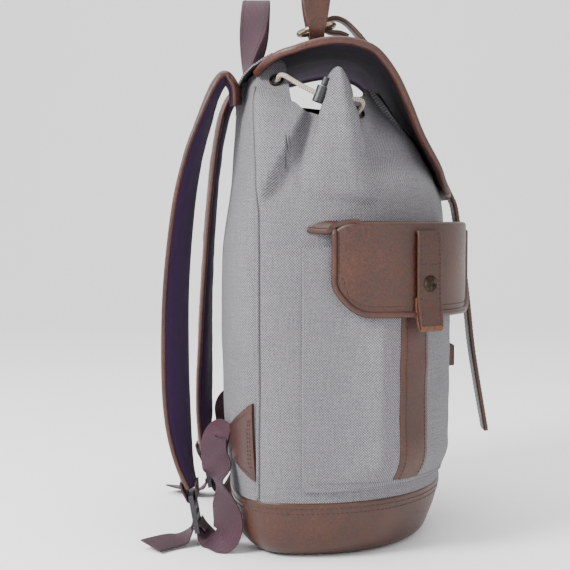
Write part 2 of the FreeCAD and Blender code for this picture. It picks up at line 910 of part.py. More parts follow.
# the buckle hangs at the strap's lower end, its length along the strap
LOCK_TILT = 80.0
for side, sx in (("left", -1), ("right", 1)):
    ladder_lock(
        "ladder_lock_" + side,
        V(sx * 86.0, 121.5, 27.5),
        FreeCAD.Rotation(V(1, 0, 0), LOCK_TILT),
    )

WT = S("web_thick")
WW = S("web_wide")


def lock_point(sx, along, out):
    """A point beside the buckle: along its length, out from its face."""
    a = math.radians(LOCK_TILT)
    return [
        sx * 86.0,
        121.5 + along * math.cos(a) - out * math.sin(a),
        27.5 + along * math.sin(a) + out * math.cos(a),
    ]


BT = S("buckle_thick")
sx = -1
# a short loop of webbing joins the buckle to the padded strap
end_loop = ribbon(
    [
        lock_point(sx, 24.5, -4.7) + [1, 0, 0, WW],
        lock_point(sx, 14.5, -2.6) + [1, 0, 0, WW],
        lock_point(sx, 10.8, -1.4) + [1, 0, 0, WW],
        lock_point(sx, 9.6, BT / 2) + [1, 0, 0, WW],
        lock_point(sx, 10.8, BT + 1.4) + [1, 0, 0, WW],
        lock_point(sx, 15.0, BT + 2.4) + [1, 0, 0, WW],
        lock_point(sx, 22.5, BT + 3.3) + [1, 0, 0, WW],
    ],
    WT,
    2,
)
feature("strap_end_loop_left", end_loop)
feature("strap_end_loop_right", mirrored(end_loop))

# the leather anchor wraps the back corner, with the webbing sewn in its end
ANCHOR_T = seam_t(95) - 0.043
ANCHOR_END = ANCHOR_T - 0.43
def anchor_t(f):
    return ANCHOR_T + f * (ANCHOR_END - ANCHOR_T)


# at each height the leather runs from the seam as far as its slanted edge
anchor_wires = []
for z in (63.5, 70.5, 78.0, 91.5, 105.0, 115.0, 125.5):
    reach = min(1.0, 1.0 - max(0.0, 78.0 - z) / 14.5 * 0.97, 1.0 - max(0.0, z - 105.0) / 20.5 * 0.97)
    anchor_wires.append(band(z, anchor_t(0.0), anchor_t(reach), 2.9, 0.6, 7))
anchor = Part.makeLoft(anchor_wires, True, True)
if anchor.Volume < 0:
    anchor.reverse()
feature("strap_anchor_left", anchor)
feature("strap_anchor_right", mirrored(anchor))

# the adjusting webbing runs from the leather anchor, in a loop, to the buckle
start = outline(ANCHOR_END - 0.06, 92.0, 2.8)
webbing = ribbon(
    [
        [start.x, start.y, 92.0, 0, 0.07, 1, WW],
        [start.x + 6.0, start.y + 6.5, 95.0, 0.25, 0.3, 1, WW],
        [start.x + 8.0, start.y + 12.0, 92.0, 0.7, 0.4, 0.7, WW],
        [-106.5, 102.5, 80.0, 0.6, 0.8, 0.2, WW],
        [-110.0, 100.0, 70.0, 0.3, 1, 0.0, WW],
        [-112.0, 98.0, 57.0, 1, 0.3, 0.0, WW],
        [-116.0, 94.5, 42.0, 0.7, 0.8, 0.0, WW],
        [-119.0, 90.5, 27.0, 0.3, 1, 0.1, WW],
        [-117.5, 92.5, 15.0, 0.4, 0.9, 0.5, WW],
        [-111.0, 99.0, 10.5, 0.75, 0.1, 0.7, WW],
        [-97.5, 104.0, 9.0, 1, 0.0, 0.3, WW],
        [-87.5, 107.5, 11.0, 1, 0.0, 0.04, WW],
        lock_point(sx, -13.5, BT + 3.6) + [1, 0, 0, WW],
        lock_point(sx, -8.2, BT + 1.6) + [1, 0, 0, WW],
    ],
    WT,
    3,
    0.7,
)
feature("webbing_left", webbing)
feature("webbing_right", mirrored(webbing))
tail = ribbon(
    [
        lock_point(sx, -9.6, -1.6) + [1, 0, 0, WW],
        lock_point(sx, -14.0, -3.4) + [1, 0, 0, WW],
        [-91.0, 131.0, 6.0, 0.95, 0.2, 0.15, WW],
        [-100.0, 143.0, 5.0, 0.8, 0.6, 0.2, WW],
        [-112.0, 154.0, 5.0, 0.75, 0.65, 0.2, WW],
    ],
    WT,
    3,
    0.7,
)
feature("webbing_tail_left", tail)
feature("webbing_tail_right", mirrored(tail))

# ---------------------------------------------- drawcord, eyelets and lock
def surface_frame(t, z):
    """A surface point and the outward normal there."""
    p = outline(t, z)
    across = outline(t + 0.02, z) - outline(t - 0.02, z)
    up = outline(t, z + 4) - outline(t, z - 4)
    n = up.cross(across)
    n.normalize()
    if n.dot(outline(t, z, 1.0) - p) < 0:
        n = n * -1
    return p, n


def front_t(y, z):
    """The parameter on the left front quarter where the outline has that y."""
    lo, hi = PI, 1.5 * PI
    for _ in range(40):
        mid = (lo + hi) / 2
        if outline(mid, z).y > y:
            lo = mid
        else:
            hi = mid
    return (lo + hi) / 2


EYES = [surface_frame(t_of_y(51.0, 384.0), 384.0), surface_frame(front_t(-14.0, 357.0), 357.0)]
rings = []
for k, (p, nrm) in enumerate(EYES):
    torus = doc.addObject("Part::Torus", "eyelet_%d" % k)
    torus.setExpression("Radius1", "Sizes.eyelet_radius")
    torus.setExpression("Radius2", "Sizes.eyelet_wire")
    torus.Placement = FreeCAD.Placement(p + nrm * 1.7, FreeCAD.Rotation(V(0, 0, 1), nrm))
    rings.append(torus)
    print("eyelet", k, [round(c, 2) for c in (p.x, p.y, p.z)], [round(c, 3) for c in (nrm.x, nrm.y, nrm.z)])
eye = doc.addObject("Part::Compound", "eyelets_group")
eye.Links = rings
keep(eye, "eyelets")

# holes for the cord behind the eyelets
for name, obj in parts:
    if name in ("front_panel", "lining_bag"):
        shape = obj.Shape
        for p, nrm in EYES:
            shape = shape.cut(Part.makeCylinder(S("eyelet_radius") - S("eyelet_wire"), 24, p - nrm * 14, nrm))
        obj.Shape = shape

doc.recompute()


def cord_tube(points, radius):
    """A cord: straight runs joined by tangent arcs, each arc as large as
    its two runs allow."""
    pts = [V(*p) for p in points]
    edges = []
    here = pts[0]
    for i in range(1, len(pts) - 1):
        a, b, c = pts[i - 1], pts[i], pts[i + 1]
        u, w = (a - b), (c - b)
        lu, lw = u.Length, w.Length
        u.normalize()
        w.normalize()
        turn = PI - u.getAngle(w)
        cut = 0.45 * min(lu, lw)
        mid = (u + w)
        mid.normalize()
        rad = cut / math.tan(turn / 2)
        p, q = b + u * cut, b + w * cut
        centre = b + mid * math.hypot(rad, cut)
        m = centre - mid * rad
        if (p - here).Length > 0.01:
            edges.append(Part.makeLine(here, p))
        edges.append(Part.Arc(p, m, q).toShape())
        here = q
    edges.append(Part.makeLine(here, pts[-1]))
    wire = Part.Wire(edges)
    start = (pts[1] - pts[0]).normalize()
    disc = Part.Wire([Part.makeCircle(radius, pts[0], start)])
    tube = wire.makePipeShell([disc], True, True, 1)
    print("cord: length", round(wire.Length, 1), "volume", round(tube.Volume, 1), "expected", round(wire.Length * PI * radius ** 2, 1))
    return tube, wire.Length


def off_eye(k, d):
    p, n = EYES[k]
    q = p + n * d
    return [round(q.x, 1), round(q.y, 1), round(q.z, 1)]


LOCK_A, LOCK_B = [-117.0, 28.0, 375.0], [-117.0, 4.0, 366.0]
CORD = [
    off_eye(0, -17.0),
    off_eye(0, 16.0),
    LOCK_A,
    LOCK_B,
    off_eye(1, 19.0),
    off_eye(1, -17.0),
    [-62.0, -24.0, 349.0],
    [-20.0, -33.0, 352.0],
    [26.0, -32.0, 354.0],
    [66.0, -19.0, 356.0],
    [87.0, 10.0, 358.0],
    [87.0, 44.0, 361.0],
    [62.0, 64.0, 364.0],
    [18.0, 69.5, 366.0],
    [-28.0, 69.0, 367.0],
    [-66.0, 62.0, 368.0],
]
print("cord route", CORD)
tube, cord_length = cord_tube(CORD, S("cord_radius"))
feature("drawcord", tube)

# the cord lock: a barrel with a cross bore for the cord and a well for the
# sprung plunger
LA, LB = V(*LOCK_A), V(*LOCK_B)
LOCK_MID = (LA + LB) * 0.5
along = (LB - LA).normalize()
lift = V(0, 0, 1)
lift = (lift - along * lift.dot(along)).normalize()
across = along.cross(lift)
LOCK_ROT = FreeCAD.Rotation(across, along, lift, "ZXY")
LOCK_PL = FreeCAD.Placement(LOCK_MID, LOCK_ROT)
print("lock", [round(c, 2) for c in LOCK_MID], "lift", [round(c, 4) for c in lift], "along", [round(c, 4) for c in along])

barrel = doc.addObject("PartDesign::Body", "lock_barrel")
plane = [o for o in barrel.Origin.OriginFeatures if o.Role == "XY_Plane"][0]
side_plane = [o for o in barrel.Origin.OriginFeatures if o.Role == "XZ_Plane"][0]
sk = barrel.newObject("Sketcher::SketchObject", "lock_round")
sk.AttachmentSupport = [(plane, "")]
sk.MapMode = "FlatFace"
sk.addGeometry(Part.Circle(V(0, 0, 0), V(0, 0, 1), S("lock_wide") / 2), False)
sk.addConstraint(Sketcher.Constraint("Coincident", 0, 3, -1, 1))
k = sk.addConstraint(Sketcher.Constraint("Diameter", 0, S("lock_wide")))
sk.setExpression("Constraints[%d]" % k, "Sizes.lock_wide")
pad = barrel.newObject("PartDesign::Pad", "lock_pad")
pad.Profile = sk
pad.Midplane = True
pad.setExpression("Length", "Sizes.lock_high")
doc.recompute()
whole = barrel.Shape.Volume
sk = barrel.newObject("Sketcher::SketchObject", "lock_cross")
sk.AttachmentSupport = [(side_plane, "")]
sk.MapMode = "FlatFace"
sk.addGeometry(Part.Circle(V(0, 0, 0), V(0, 0, 1), S("lock_bore")), False)
sk.addConstraint(Sketcher.Constraint("Coincident", 0, 3, -1, 1))
k = sk.addConstraint(Sketcher.Constraint("Radius", 0, S("lock_bore")))
sk.setExpression("Constraints[%d]" % k, "Sizes.lock_bore")
cut = barrel.newObject("PartDesign::Pocket", "lock_bore_cut")
cut.Profile = sk
cut.Type = "ThroughAll"
cut.Midplane = True
doc.recompute()
bored = barrel.Shape.Volume
sk = barrel.newObject("Sketcher::SketchObject", "lock_well")
sk.AttachmentSupport = [(plane, "")]
sk.MapMode = "FlatFace"
sk.AttachmentOffset = FreeCAD.Placement(V(0, 0, S("lock_high") / 2), FreeCAD.Rotation())
sk.setExpression("AttachmentOffset.Base.z", "Sizes.lock_high / 2")
sk.addGeometry(Part.Circle(V(0, 0, 0), V(0, 0, 1), S("plunger_well")), False)
sk.addConstraint(Sketcher.Constraint("Coincident", 0, 3, -1, 1))
k = sk.addConstraint(Sketcher.Constraint("Radius", 0, S("plunger_well")))
sk.setExpression("Constraints[%d]" % k, "Sizes.plunger_well")
well = barrel.newObject("PartDesign::Pocket", "lock_well_cut")
well.Profile = sk
well.Length = 3.6
doc.recompute()
if barrel.Shape.Volume >= bored - 1.0:
    well.Reversed = True
    doc.recompute()
print("lock volumes", round(whole), round(bored), round(barrel.Shape.Volume))
barrel.Placement = LOCK_PL
keep(barrel, "cord_lock_body")


def in_lock(point):
    return LOCK_PL.multVec(V(*point))


stem = doc.addObject("Part::Cylinder", "plunger_stem")
stem.setExpression("Radius", "Sizes.plunger_radius * 0.62")
stem.Height = 2.0
stem.Placement = FreeCAD.Placement(in_lock((0, 0, 5.9)), LOCK_ROT)
head = doc.addObject("Part::Cylinder", "plunger_head")
head.setExpression("Radius", "Sizes.plunger_radius")
head.setExpression("Height", "Sizes.plunger_long")
head.Placement = FreeCAD.Placement(in_lock((0, 0, 7.8)), LOCK_ROT)
plunger = doc.addObject("Part::Fuse", "plunger_whole")
plunger.Base = stem
plunger.Tool = head
keep(plunger, "cord_lock_plunger")

spring = doc.addObject("Part::Torus", "lock_spring")
spring.Radius1 = 2.55
spring.Radius2 = 0.35
spring_rings = []
for i in range(5):
    coil = doc.addObject("Part::Torus", "lock_coil_%d" % i)
    coil.setExpression("Radius1", "Sizes.plunger_radius * 0.86")
    coil.Radius2 = 0.32
    coil.Placement = FreeCAD.Placement(in_lock((0, 0, 3.5 + 0.85 * i)), LOCK_ROT)
    spring_rings.append(coil)
doc.removeObject(spring.Name)
springs = doc.addObject("Part::Compound", "lock_spring_group")
springs.Links = spring_rings
keep(springs, "cord_lock_spring")

# a leather keeper on the front for the closing strap
feature(
    "front_keeper",
    ribbon(
        [
            [-19.0, -97.3, 150.0, 0, 0, 1, 18.0],
            [-15.5, -98.6, 150.0, 0, 0, 1, 18.0],
            [-14.5, -104.0, 150.0, 0, 0, 1, 18.0],
            [-8.0, -106.5, 150.0, 0, 0, 1, 18.0],
            [8.0, -106.5, 150.0, 0, 0, 1, 18.0],
            [14.5, -104.0, 150.0, 0, 0, 1, 18.0],
            [15.5, -98.6, 150.0, 0, 0, 1, 18.0],
            [19.0, -97.3, 150.0, 0, 0, 1, 18.0],
        ],
        1.8,
        2,
    ),
)

# ------------------------------------------------------------------ write
doc.recompute()
bad = [o.Name for o in doc.Objects if "Invalid" in o.State or "Error" in o.State]
if bad:
    raise SystemExit("failed objects: %s" % bad)
os.makedirs("parts", exist_ok=True)
for old in os.listdir("parts"):
    if old.endswith(".step"):
        os.remove(os.path.join("parts", old))
names = [n for n, _ in parts]
if len(set(names)) != len(names):
    raise SystemExit("two nodes share a name")
for name, obj in parts:
    shape = obj.Shape
    if shape.isNull() or not shape.isValid() or not shape.Solids:
        raise SystemExit("bad shape: " + name)
    if shape.Volume <= 0:
        raise SystemExit("inside-out shape: " + name)
    shape.exportStep("parts/%s.step" % name)
    box = shape.BoundBox
    print(
        "%-22s solids %d vol %.1f cm3  x %.1f..%.1f y %.1f..%.1f z %.1f..%.1f"
        % (name, len(shape.Solids), shape.Volume / 1000.0, box.XMin, box.XMax, box.YMin, box.YMax, box.ZMin, box.ZMax)
    )
print("nodes:", len(parts))
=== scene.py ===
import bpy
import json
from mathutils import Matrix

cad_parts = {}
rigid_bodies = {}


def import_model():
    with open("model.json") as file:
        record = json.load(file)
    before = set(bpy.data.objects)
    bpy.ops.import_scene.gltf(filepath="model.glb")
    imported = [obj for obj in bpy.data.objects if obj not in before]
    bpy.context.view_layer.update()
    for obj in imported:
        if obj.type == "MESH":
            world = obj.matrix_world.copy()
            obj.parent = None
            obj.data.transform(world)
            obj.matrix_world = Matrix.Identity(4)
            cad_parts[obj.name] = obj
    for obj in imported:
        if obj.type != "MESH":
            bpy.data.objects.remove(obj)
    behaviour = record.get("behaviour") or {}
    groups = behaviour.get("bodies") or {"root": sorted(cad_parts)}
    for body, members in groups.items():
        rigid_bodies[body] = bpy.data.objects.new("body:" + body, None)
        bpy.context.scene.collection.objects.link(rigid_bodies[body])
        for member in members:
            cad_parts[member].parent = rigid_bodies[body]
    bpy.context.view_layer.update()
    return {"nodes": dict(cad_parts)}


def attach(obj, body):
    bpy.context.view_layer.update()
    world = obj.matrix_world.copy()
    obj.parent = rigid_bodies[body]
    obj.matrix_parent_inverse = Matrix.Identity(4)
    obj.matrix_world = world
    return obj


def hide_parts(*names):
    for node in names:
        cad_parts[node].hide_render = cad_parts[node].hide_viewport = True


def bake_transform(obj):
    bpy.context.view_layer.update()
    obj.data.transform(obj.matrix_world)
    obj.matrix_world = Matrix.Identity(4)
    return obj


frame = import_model()

import json
import math

import bpy
from mathutils import Matrix, Vector, noise

PI = math.pi
NODES = frame["nodes"]


# ------------------------------------------------------------- the surface
LEVELS = [
    (0.0, 122.0, -74.0, 72.0), (6.0, 131.0, -80.0, 80.0), (16.0, 138.0, -84.0, 86.5),
    (30.0, 142.0, -89.0, 89.5), (47.0, 143.5, -92.5, 91.5), (85.0, 145.0, -94.2, 96.0),
    (130.0, 145.0, -95.0, 99.0), (240.0, 145.0, -95.5, 99.0), (290.0, 144.0, -93.0, 92.0),
    (330.0, 133.0, -75.0, 87.5), (360.0, 114.0, -52.0, 84.5), (390.0, 90.0, -31.0, 79.0),
    (420.0, 66.0, -10.0, 73.0),
]


def hermite(rows, z):
    """A smooth value between rows, by a monotone-ish cubic."""
    n = len(rows)
    if z <= rows[0][0]:
        return list(rows[0][1:])
    if z >= rows[-1][0]:
        return list(rows[-1][1:])
    k = 0
    while rows[k + 1][0] < z:
        k += 1
    a, b = rows[k], rows[k + 1]
    p, q = rows[max(k - 1, 0)], rows[min(k + 2, n - 1)]
    f = (z - a[0]) / (b[0] - a[0])
    out = []
    for i in range(1, len(a)):
        d = b[0] - a[0]
        m0 = (b[i] - p[i]) / (b[0] - p[0]) * d
        m1 = (q[i] - a[i]) / (q[0] - a[0]) * d
        out.append(
            (2 * f ** 3 - 3 * f * f + 1) * a[i] + (f ** 3 - 2 * f * f + f) * m0
            + (-2 * f ** 3 + 3 * f * f) * b[i] + (f ** 3 - f * f) * m1
        )
    return out


def power(v, n):
    return math.copysign(abs(v) ** (2.0 / n), v)


def plan(t, z):
    w, yf, yb = hermite(LEVELS, z)
    c, s = math.cos(t), math.sin(t)
    if s > 0:
        return w * power(c, 3.2), 30.0 + (yb - 30.0) * power(s, 3.2)
    return w * power(c, 2.15), 30.0 + (30.0 - yf) * power(s, 2.15)


def outline(t, z, off=0.0):
    """A point of the outer surface in mm, pushed out by off."""
    x, y = plan(t, z)
    x1, y1 = plan(t + 0.012, z)
    x0, y0 = plan(t - 0.012, z)
    nx, ny = y1 - y0, -(x1 - x0)
    l = math.hypot(nx, ny) or 1.0
    return Vector((x + nx / l * off, y + ny / l * off, z))


def lerp(a, b, f):
    return a + (b - a) * f


def step(a, b, v):
    """0 below a, 1 above b, smooth between; works either way round."""
    f = min(1.0, max(0.0, (v - a) / (b - a)))
    return f * f * (3 - 2 * f)


def table_value(rows, v):
    if v <= rows[0][0]:
        return rows[0][1]
    for a, b in zip(rows, rows[1:]):
        if v <= b[0]:
            f = (v - a[0]) / (b[0] - a[0])
            f = f * f * (3 - 2 * f)
            return lerp(a[1], b[1], f)
    return rows[-1][1]


def wob(x, y, z, size, seed=0.0):
    return noise.noise(Vector((x / size + seed, y / size + 3.1 * seed, z / size - seed)))


# --------------------------------------------------------------- materials
def material(name):
    m = bpy.data.materials.new(name)
    m.use_nodes = True
    nt = m.node_tree
    for n in list(nt.nodes):
        nt.nodes.remove(n)
    out = nt.nodes.new("ShaderNodeOutputMaterial")
    bsdf = nt.nodes.new("ShaderNodeBsdfPrincipled")
    nt.links.new(bsdf.outputs[0], out.inputs[0])
    return m, nt, bsdf


def node(nt, kind, **values):
    n = nt.nodes.new(kind)
    for k, v in values.items():
        if k.startswith("i_"):
            n.inputs[k[2:].replace("_", " ")].default_value = v
        else:
            setattr(n, k, v)
    return n


def srgb(r, g, b):
    def f(c):
        c /= 255.0
        return c / 12.92 if c <= 0.04045 else ((c + 0.055) / 1.055) ** 2.4

    return (f(r), f(g), f(b), 1.0)


def mathn(nt, op, a, b=None):
    n = nt.nodes.new("ShaderNodeMath")
    n.operation = op
    for k, v in enumerate((a, b)):
        if v is None:
            continue
        if isinstance(v, (int, float)):
            n.inputs[k].default_value = v
        else:
            nt.links.new(v, n.inputs[k])
    return n.outputs[0]


def ramp(nt, value, stops):
    n = nt.nodes.new("ShaderNodeValToRGB")
    nt.links.new(value, n.inputs[0])
    el = n.color_ramp.elements
    while len(el) < len(stops):
        el.new(0.5)
    for e, (p, c) in zip(el, stops):
        e.position = p
        e.color = c
    return n.outputs[0]


def mixc(nt, fac, a, b, mode="MIX"):
    n = nt.nodes.new("ShaderNodeMix")
    n.data_type = "RGBA"
    n.blend_type = mode
    if isinstance(fac, (int, float)):
        n.inputs[0].default_value = fac
    else:
        nt.links.new(fac, n.inputs[0])
    for k, v in ((6, a), (7, b)):
        if isinstance(v, tuple):
            n.inputs[k].default_value = v
        else:
            nt.links.new(v, n.inputs[k])
    return n.outputs[2]


def uv_scaled(nt, sx, sy, sz=1.0, which="UV"):
    tc = nt.nodes.new("ShaderNodeTexCoord")
    mp = nt.nodes.new("ShaderNodeMapping")
    mp.inputs["Scale"].default_value = (sx, sy, sz)
    nt.links.new(tc.outputs[which], mp.inputs[0])
    return mp.outputs[0]


def noise_tex(nt, vec, scale, detail=2.0, rough=0.5):
    n = nt.nodes.new("ShaderNodeTexNoise")
    n.inputs["Scale"].default_value = scale
    n.inputs["Detail"].default_value = detail
    n.inputs["Roughness"].default_value = rough
    nt.links.new(vec, n.inputs["Vector"])
    return n.outputs["Fac"]


def bump(nt, bsdf, height, strength, distance):
    n = nt.nodes.new("ShaderNodeBump")
    n.inputs["Strength"].default_value = strength
    n.inputs["Distance"].default_value = distance
    nt.links.new(height, n.inputs["Height"])
    nt.links.new(n.outputs[0], bsdf.inputs["Normal"])
    return n


def woven(name, light, mid, dark, pitch=0.0021, rough=0.86, sheen=0.25, depth=0.00035, heather=1.0):
    """A plain weave: crossing threads with uneven shades, from UVs in metres."""
    m, nt, bsdf = material(name)
    uv = uv_scaled(nt, 1.0 / pitch, 1.0 / pitch)
    sep = nt.nodes.new("ShaderNodeSeparateXYZ")
    nt.links.new(uv, sep.inputs[0])
    su = mathn(nt, "SINE", mathn(nt, "MULTIPLY", sep.outputs[0], 2 * PI))
    sv = mathn(nt, "SINE", mathn(nt, "MULTIPLY", sep.outputs[1], 2 * PI))
    weave = mathn(nt, "MULTIPLY", su, sv)
    weave = mathn(nt, "ADD", mathn(nt, "MULTIPLY", weave, 0.5), 0.5)
    warp = noise_tex(nt, uv_scaled(nt, 900.0, 45.0), 1.0, 2.0)
    weft = noise_tex(nt, uv_scaled(nt, 45.0, 900.0), 1.0, 2.0)
    fleck = noise_tex(nt, uv_scaled(nt, 650.0, 650.0), 1.0, 2.0)
    broad = noise_tex(nt, uv_scaled(nt, 1.0, 1.0, 1.0, "Object"), 14.0, 3.0)
    mix = mathn(nt, "ADD", mathn(nt, "MULTIPLY", warp, 0.13 * heather), mathn(nt, "MULTIPLY", weft, 0.13 * heather))
    mix = mathn(nt, "ADD", mix, mathn(nt, "MULTIPLY", fleck, 0.34 * heather))
    mix = mathn(nt, "ADD", mix, mathn(nt, "MULTIPLY", weave, 0.42))
    mix = mathn(nt, "ADD", mix, 0.5 - 0.30 * heather - 0.21)
    col = ramp(nt, mix, [(0.24, dark), (0.5, mid), (0.78, light)])
    tone = ramp(nt, broad, [(0.3, (0.90, 0.90, 0.91, 1)), (0.7, (1.0, 1.0, 1.0, 1))])
    col = mixc(nt, 1.0, col, tone, "MULTIPLY")
    nt.links.new(col, bsdf.inputs["Base Color"])
    bsdf.inputs["Roughness"].default_value = rough
    bsdf.inputs["Sheen Weight"].default_value = sheen
    bsdf.inputs["Sheen Roughness"].default_value = 0.5
    bsdf.inputs["Specular IOR Level"].default_value = 0.25
    h = mathn(nt, "ADD", weave, mathn(nt, "MULTIPLY", fleck, 0.6))
    bump(nt, bsdf, h, 0.55, depth)
    return m


def leather(name, light, mid, dark, grain=0.0011, rough=0.46, depth=0.00025, coat=0.08, worn=0.5):
    """Pebbled leather: cells of grain, fine creases, soft colour drift."""
    m, nt, bsdf = material(name)
    obj = uv_scaled(nt, 1.0, 1.0, 1.0, "Object")
    vor = nt.nodes.new("ShaderNodeTexVoronoi")
    vor.feature = "SMOOTH_F1"
    vor.inputs["Scale"].default_value = 1.0 / grain
    vor.inputs["Smoothness"].default_value = 0.55
    warpv = nt.nodes.new("ShaderNodeTexNoise")
    warpv.inputs["Scale"].default_value = 260.0
    nt.links.new(obj, warpv.inputs["Vector"])
    mv = nt.nodes.new("ShaderNodeMix")
    mv.data_type = "VECTOR"
    mv.inputs[0].default_value = 0.0016
    nt.links.new(obj, mv.inputs[4])
    nt.links.new(warpv.outputs["Color"], mv.inputs[5])
    nt.links.new(mv.outputs[1], vor.inputs["Vector"])
    broad = noise_tex(nt, obj, 16.0, 4.0, 0.55)
    fine = noise_tex(nt, obj, 420.0, 3.0, 0.6)
    mix = mathn(nt, "ADD", mathn(nt, "MULTIPLY", broad, 0.38), mathn(nt, "MULTIPLY", fine, 0.55))
    mix = mathn(nt, "ADD", mix, 0.08)
    mix = mathn(nt, "SUBTRACT", mix, mathn(nt, "MULTIPLY", vor.outputs["Distance"], 0.18))
    col = ramp(nt, mix, [(0.30, dark), (0.47, mid), (0.68, light)])
    nt.links.new(col, bsdf.inputs["Base Color"])
    rr = ramp(nt, fine, [(0.3, (rough - 0.07,) * 3 + (1,)), (0.7, (rough + 0.09,) * 3 + (1,))])
    nt.links.new(rr, bsdf.inputs["Roughness"])
    bsdf.inputs["Specular IOR Level"].default_value = 0.45
    bsdf.inputs["Coat Weight"].default_value = coat
    bsdf.inputs["Coat Roughness"].default_value = 0.35
    h = mathn(nt, "SUBTRACT", mathn(nt, "MULTIPLY", fine, 0.35), vor.outputs["Distance"])
    bump(nt, bsdf, h, 0.6, depth)
    return m


def ribbed(name, light, mid, dark, rib=0.0011, rough=0.62):
    """Nylon webbing: ribs across the width, twill along it."""
    m, nt, bsdf = material(name)
    uv = uv_scaled(nt, 1.0 / 0.0017, 1.0 / rib)
    sep = nt.nodes.new("ShaderNodeSeparateXYZ")
    nt.links.new(uv, sep.inputs[0])
    rows = mathn(nt, "SINE", mathn(nt, "MULTIPLY", sep.outputs[1], 2 * PI))
    slant = mathn(nt, "ADD", sep.outputs[0], mathn(nt, "MULTIPLY", sep.outputs[1], 0.5))
    cross = mathn(nt, "SINE", mathn(nt, "MULTIPLY", slant, 2 * PI))
    h = mathn(nt, "ADD", mathn(nt, "MULTIPLY", rows, 0.55), mathn(nt, "MULTIPLY", cross, 0.4))
    fleck = noise_tex(nt, uv_scaled(nt, 700.0, 700.0), 1.0, 2.0)
    broad = noise_tex(nt, uv_scaled(nt, 1.0, 1.0, 1.0, "Object"), 22.0, 2.0)
    mix = mathn(nt, "ADD", mathn(nt, "MULTIPLY", h, 0.12), mathn(nt, "MULTIPLY", fleck, 0.55))
    mix = mathn(nt, "ADD", mix, mathn(nt, "MULTIPLY", broad, 0.45))
    col = ramp(nt, mix, [(0.3, dark), (0.5, mid), (0.72, light)])
    nt.links.new(col, bsdf.inputs["Base Color"])
    bsdf.inputs["Roughness"].default_value = rough
    bsdf.inputs["Sheen Weight"].default_value = 0.05
    bsdf.inputs["Sheen Roughness"].default_value = 0.4
    bump(nt, bsdf, h, 0.7, 0.0003)
    return m


def metal(name, light, mid, dark, rough=0.32):
    m, nt, bsdf = material(name)
    obj = uv_scaled(nt, 1.0, 1.0, 1.0, "Object")
    broad = noise_tex(nt, obj, 210.0, 4.0, 0.6)
    fine = noise_tex(nt, obj, 1500.0, 3.0, 0.6)
    col = ramp(nt, broad, [(0.32, dark), (0.5, mid), (0.7, light)])
    nt.links.new(col, bsdf.inputs["Base Color"])
    rr = ramp(nt, broad, [(0.3, (rough + 0.16,) * 3 + (1,)), (0.7, (rough - 0.06,) * 3 + (1,))])
    nt.links.new(rr, bsdf.inputs["Roughness"])
    bsdf.inputs["Metallic"].default_value = 1.0
    bump(nt, bsdf, fine, 0.25, 0.00008)
    return m


def plastic(name, light, dark, rough=0.42):
    m, nt, bsdf = material(name)
    obj = uv_scaled(nt, 1.0, 1.0, 1.0, "Object")
    fine = noise_tex(nt, obj, 1300.0, 3.0, 0.6)
    broad = noise_tex(nt, obj, 60.0, 2.0)
    col = ramp(nt, broad, [(0.3, dark), (0.7, light)])
    nt.links.new(col, bsdf.inputs["Base Color"])
    rr = ramp(nt, fine, [(0.3, (rough - 0.05,) * 3 + (1,)), (0.7, (rough + 0.08,) * 3 + (1,))])
    nt.links.new(rr, bsdf.inputs["Roughness"])
    bump(nt, bsdf, fine, 0.3, 0.0001)
    return m


def braided(name, light, mid, dark):
    """Round braid: two sets of strands that cross, from UVs along and round."""
    m, nt, bsdf = material(name)
    uv = uv_scaled(nt, 1.0 / 0.0034, 1.0 / 0.0034)
    sep = nt.nodes.new("ShaderNodeSeparateXYZ")
    nt.links.new(uv, sep.inputs[0])
    a = mathn(nt, "ADD", sep.outputs[0], sep.outputs[1])
    b = mathn(nt, "SUBTRACT", sep.outputs[0], sep.outputs[1])
    sa = mathn(nt, "SINE", mathn(nt, "MULTIPLY", a, 2 * PI))
    sb = mathn(nt, "SINE", mathn(nt, "MULTIPLY", b, 2 * PI))
    h = mathn(nt, "ADD", mathn(nt, "MULTIPLY", mathn(nt, "MULTIPLY", sa, sb), 0.5), 0.5)
    fleck = noise_tex(nt, uv_scaled(nt, 500.0, 500.0), 1.0, 2.0)
    mix = mathn(nt, "ADD", mathn(nt, "MULTIPLY", h, 0.5), mathn(nt, "MULTIPLY", fleck, 0.5))
    col = ramp(nt, mix, [(0.28, dark), (0.5, mid), (0.75, light)])
    nt.links.new(col, bsdf.inputs["Base Color"])
    bsdf.inputs["Roughness"].default_value = 0.8
    bump(nt, bsdf, h, 0.8, 0.0005)
    return m


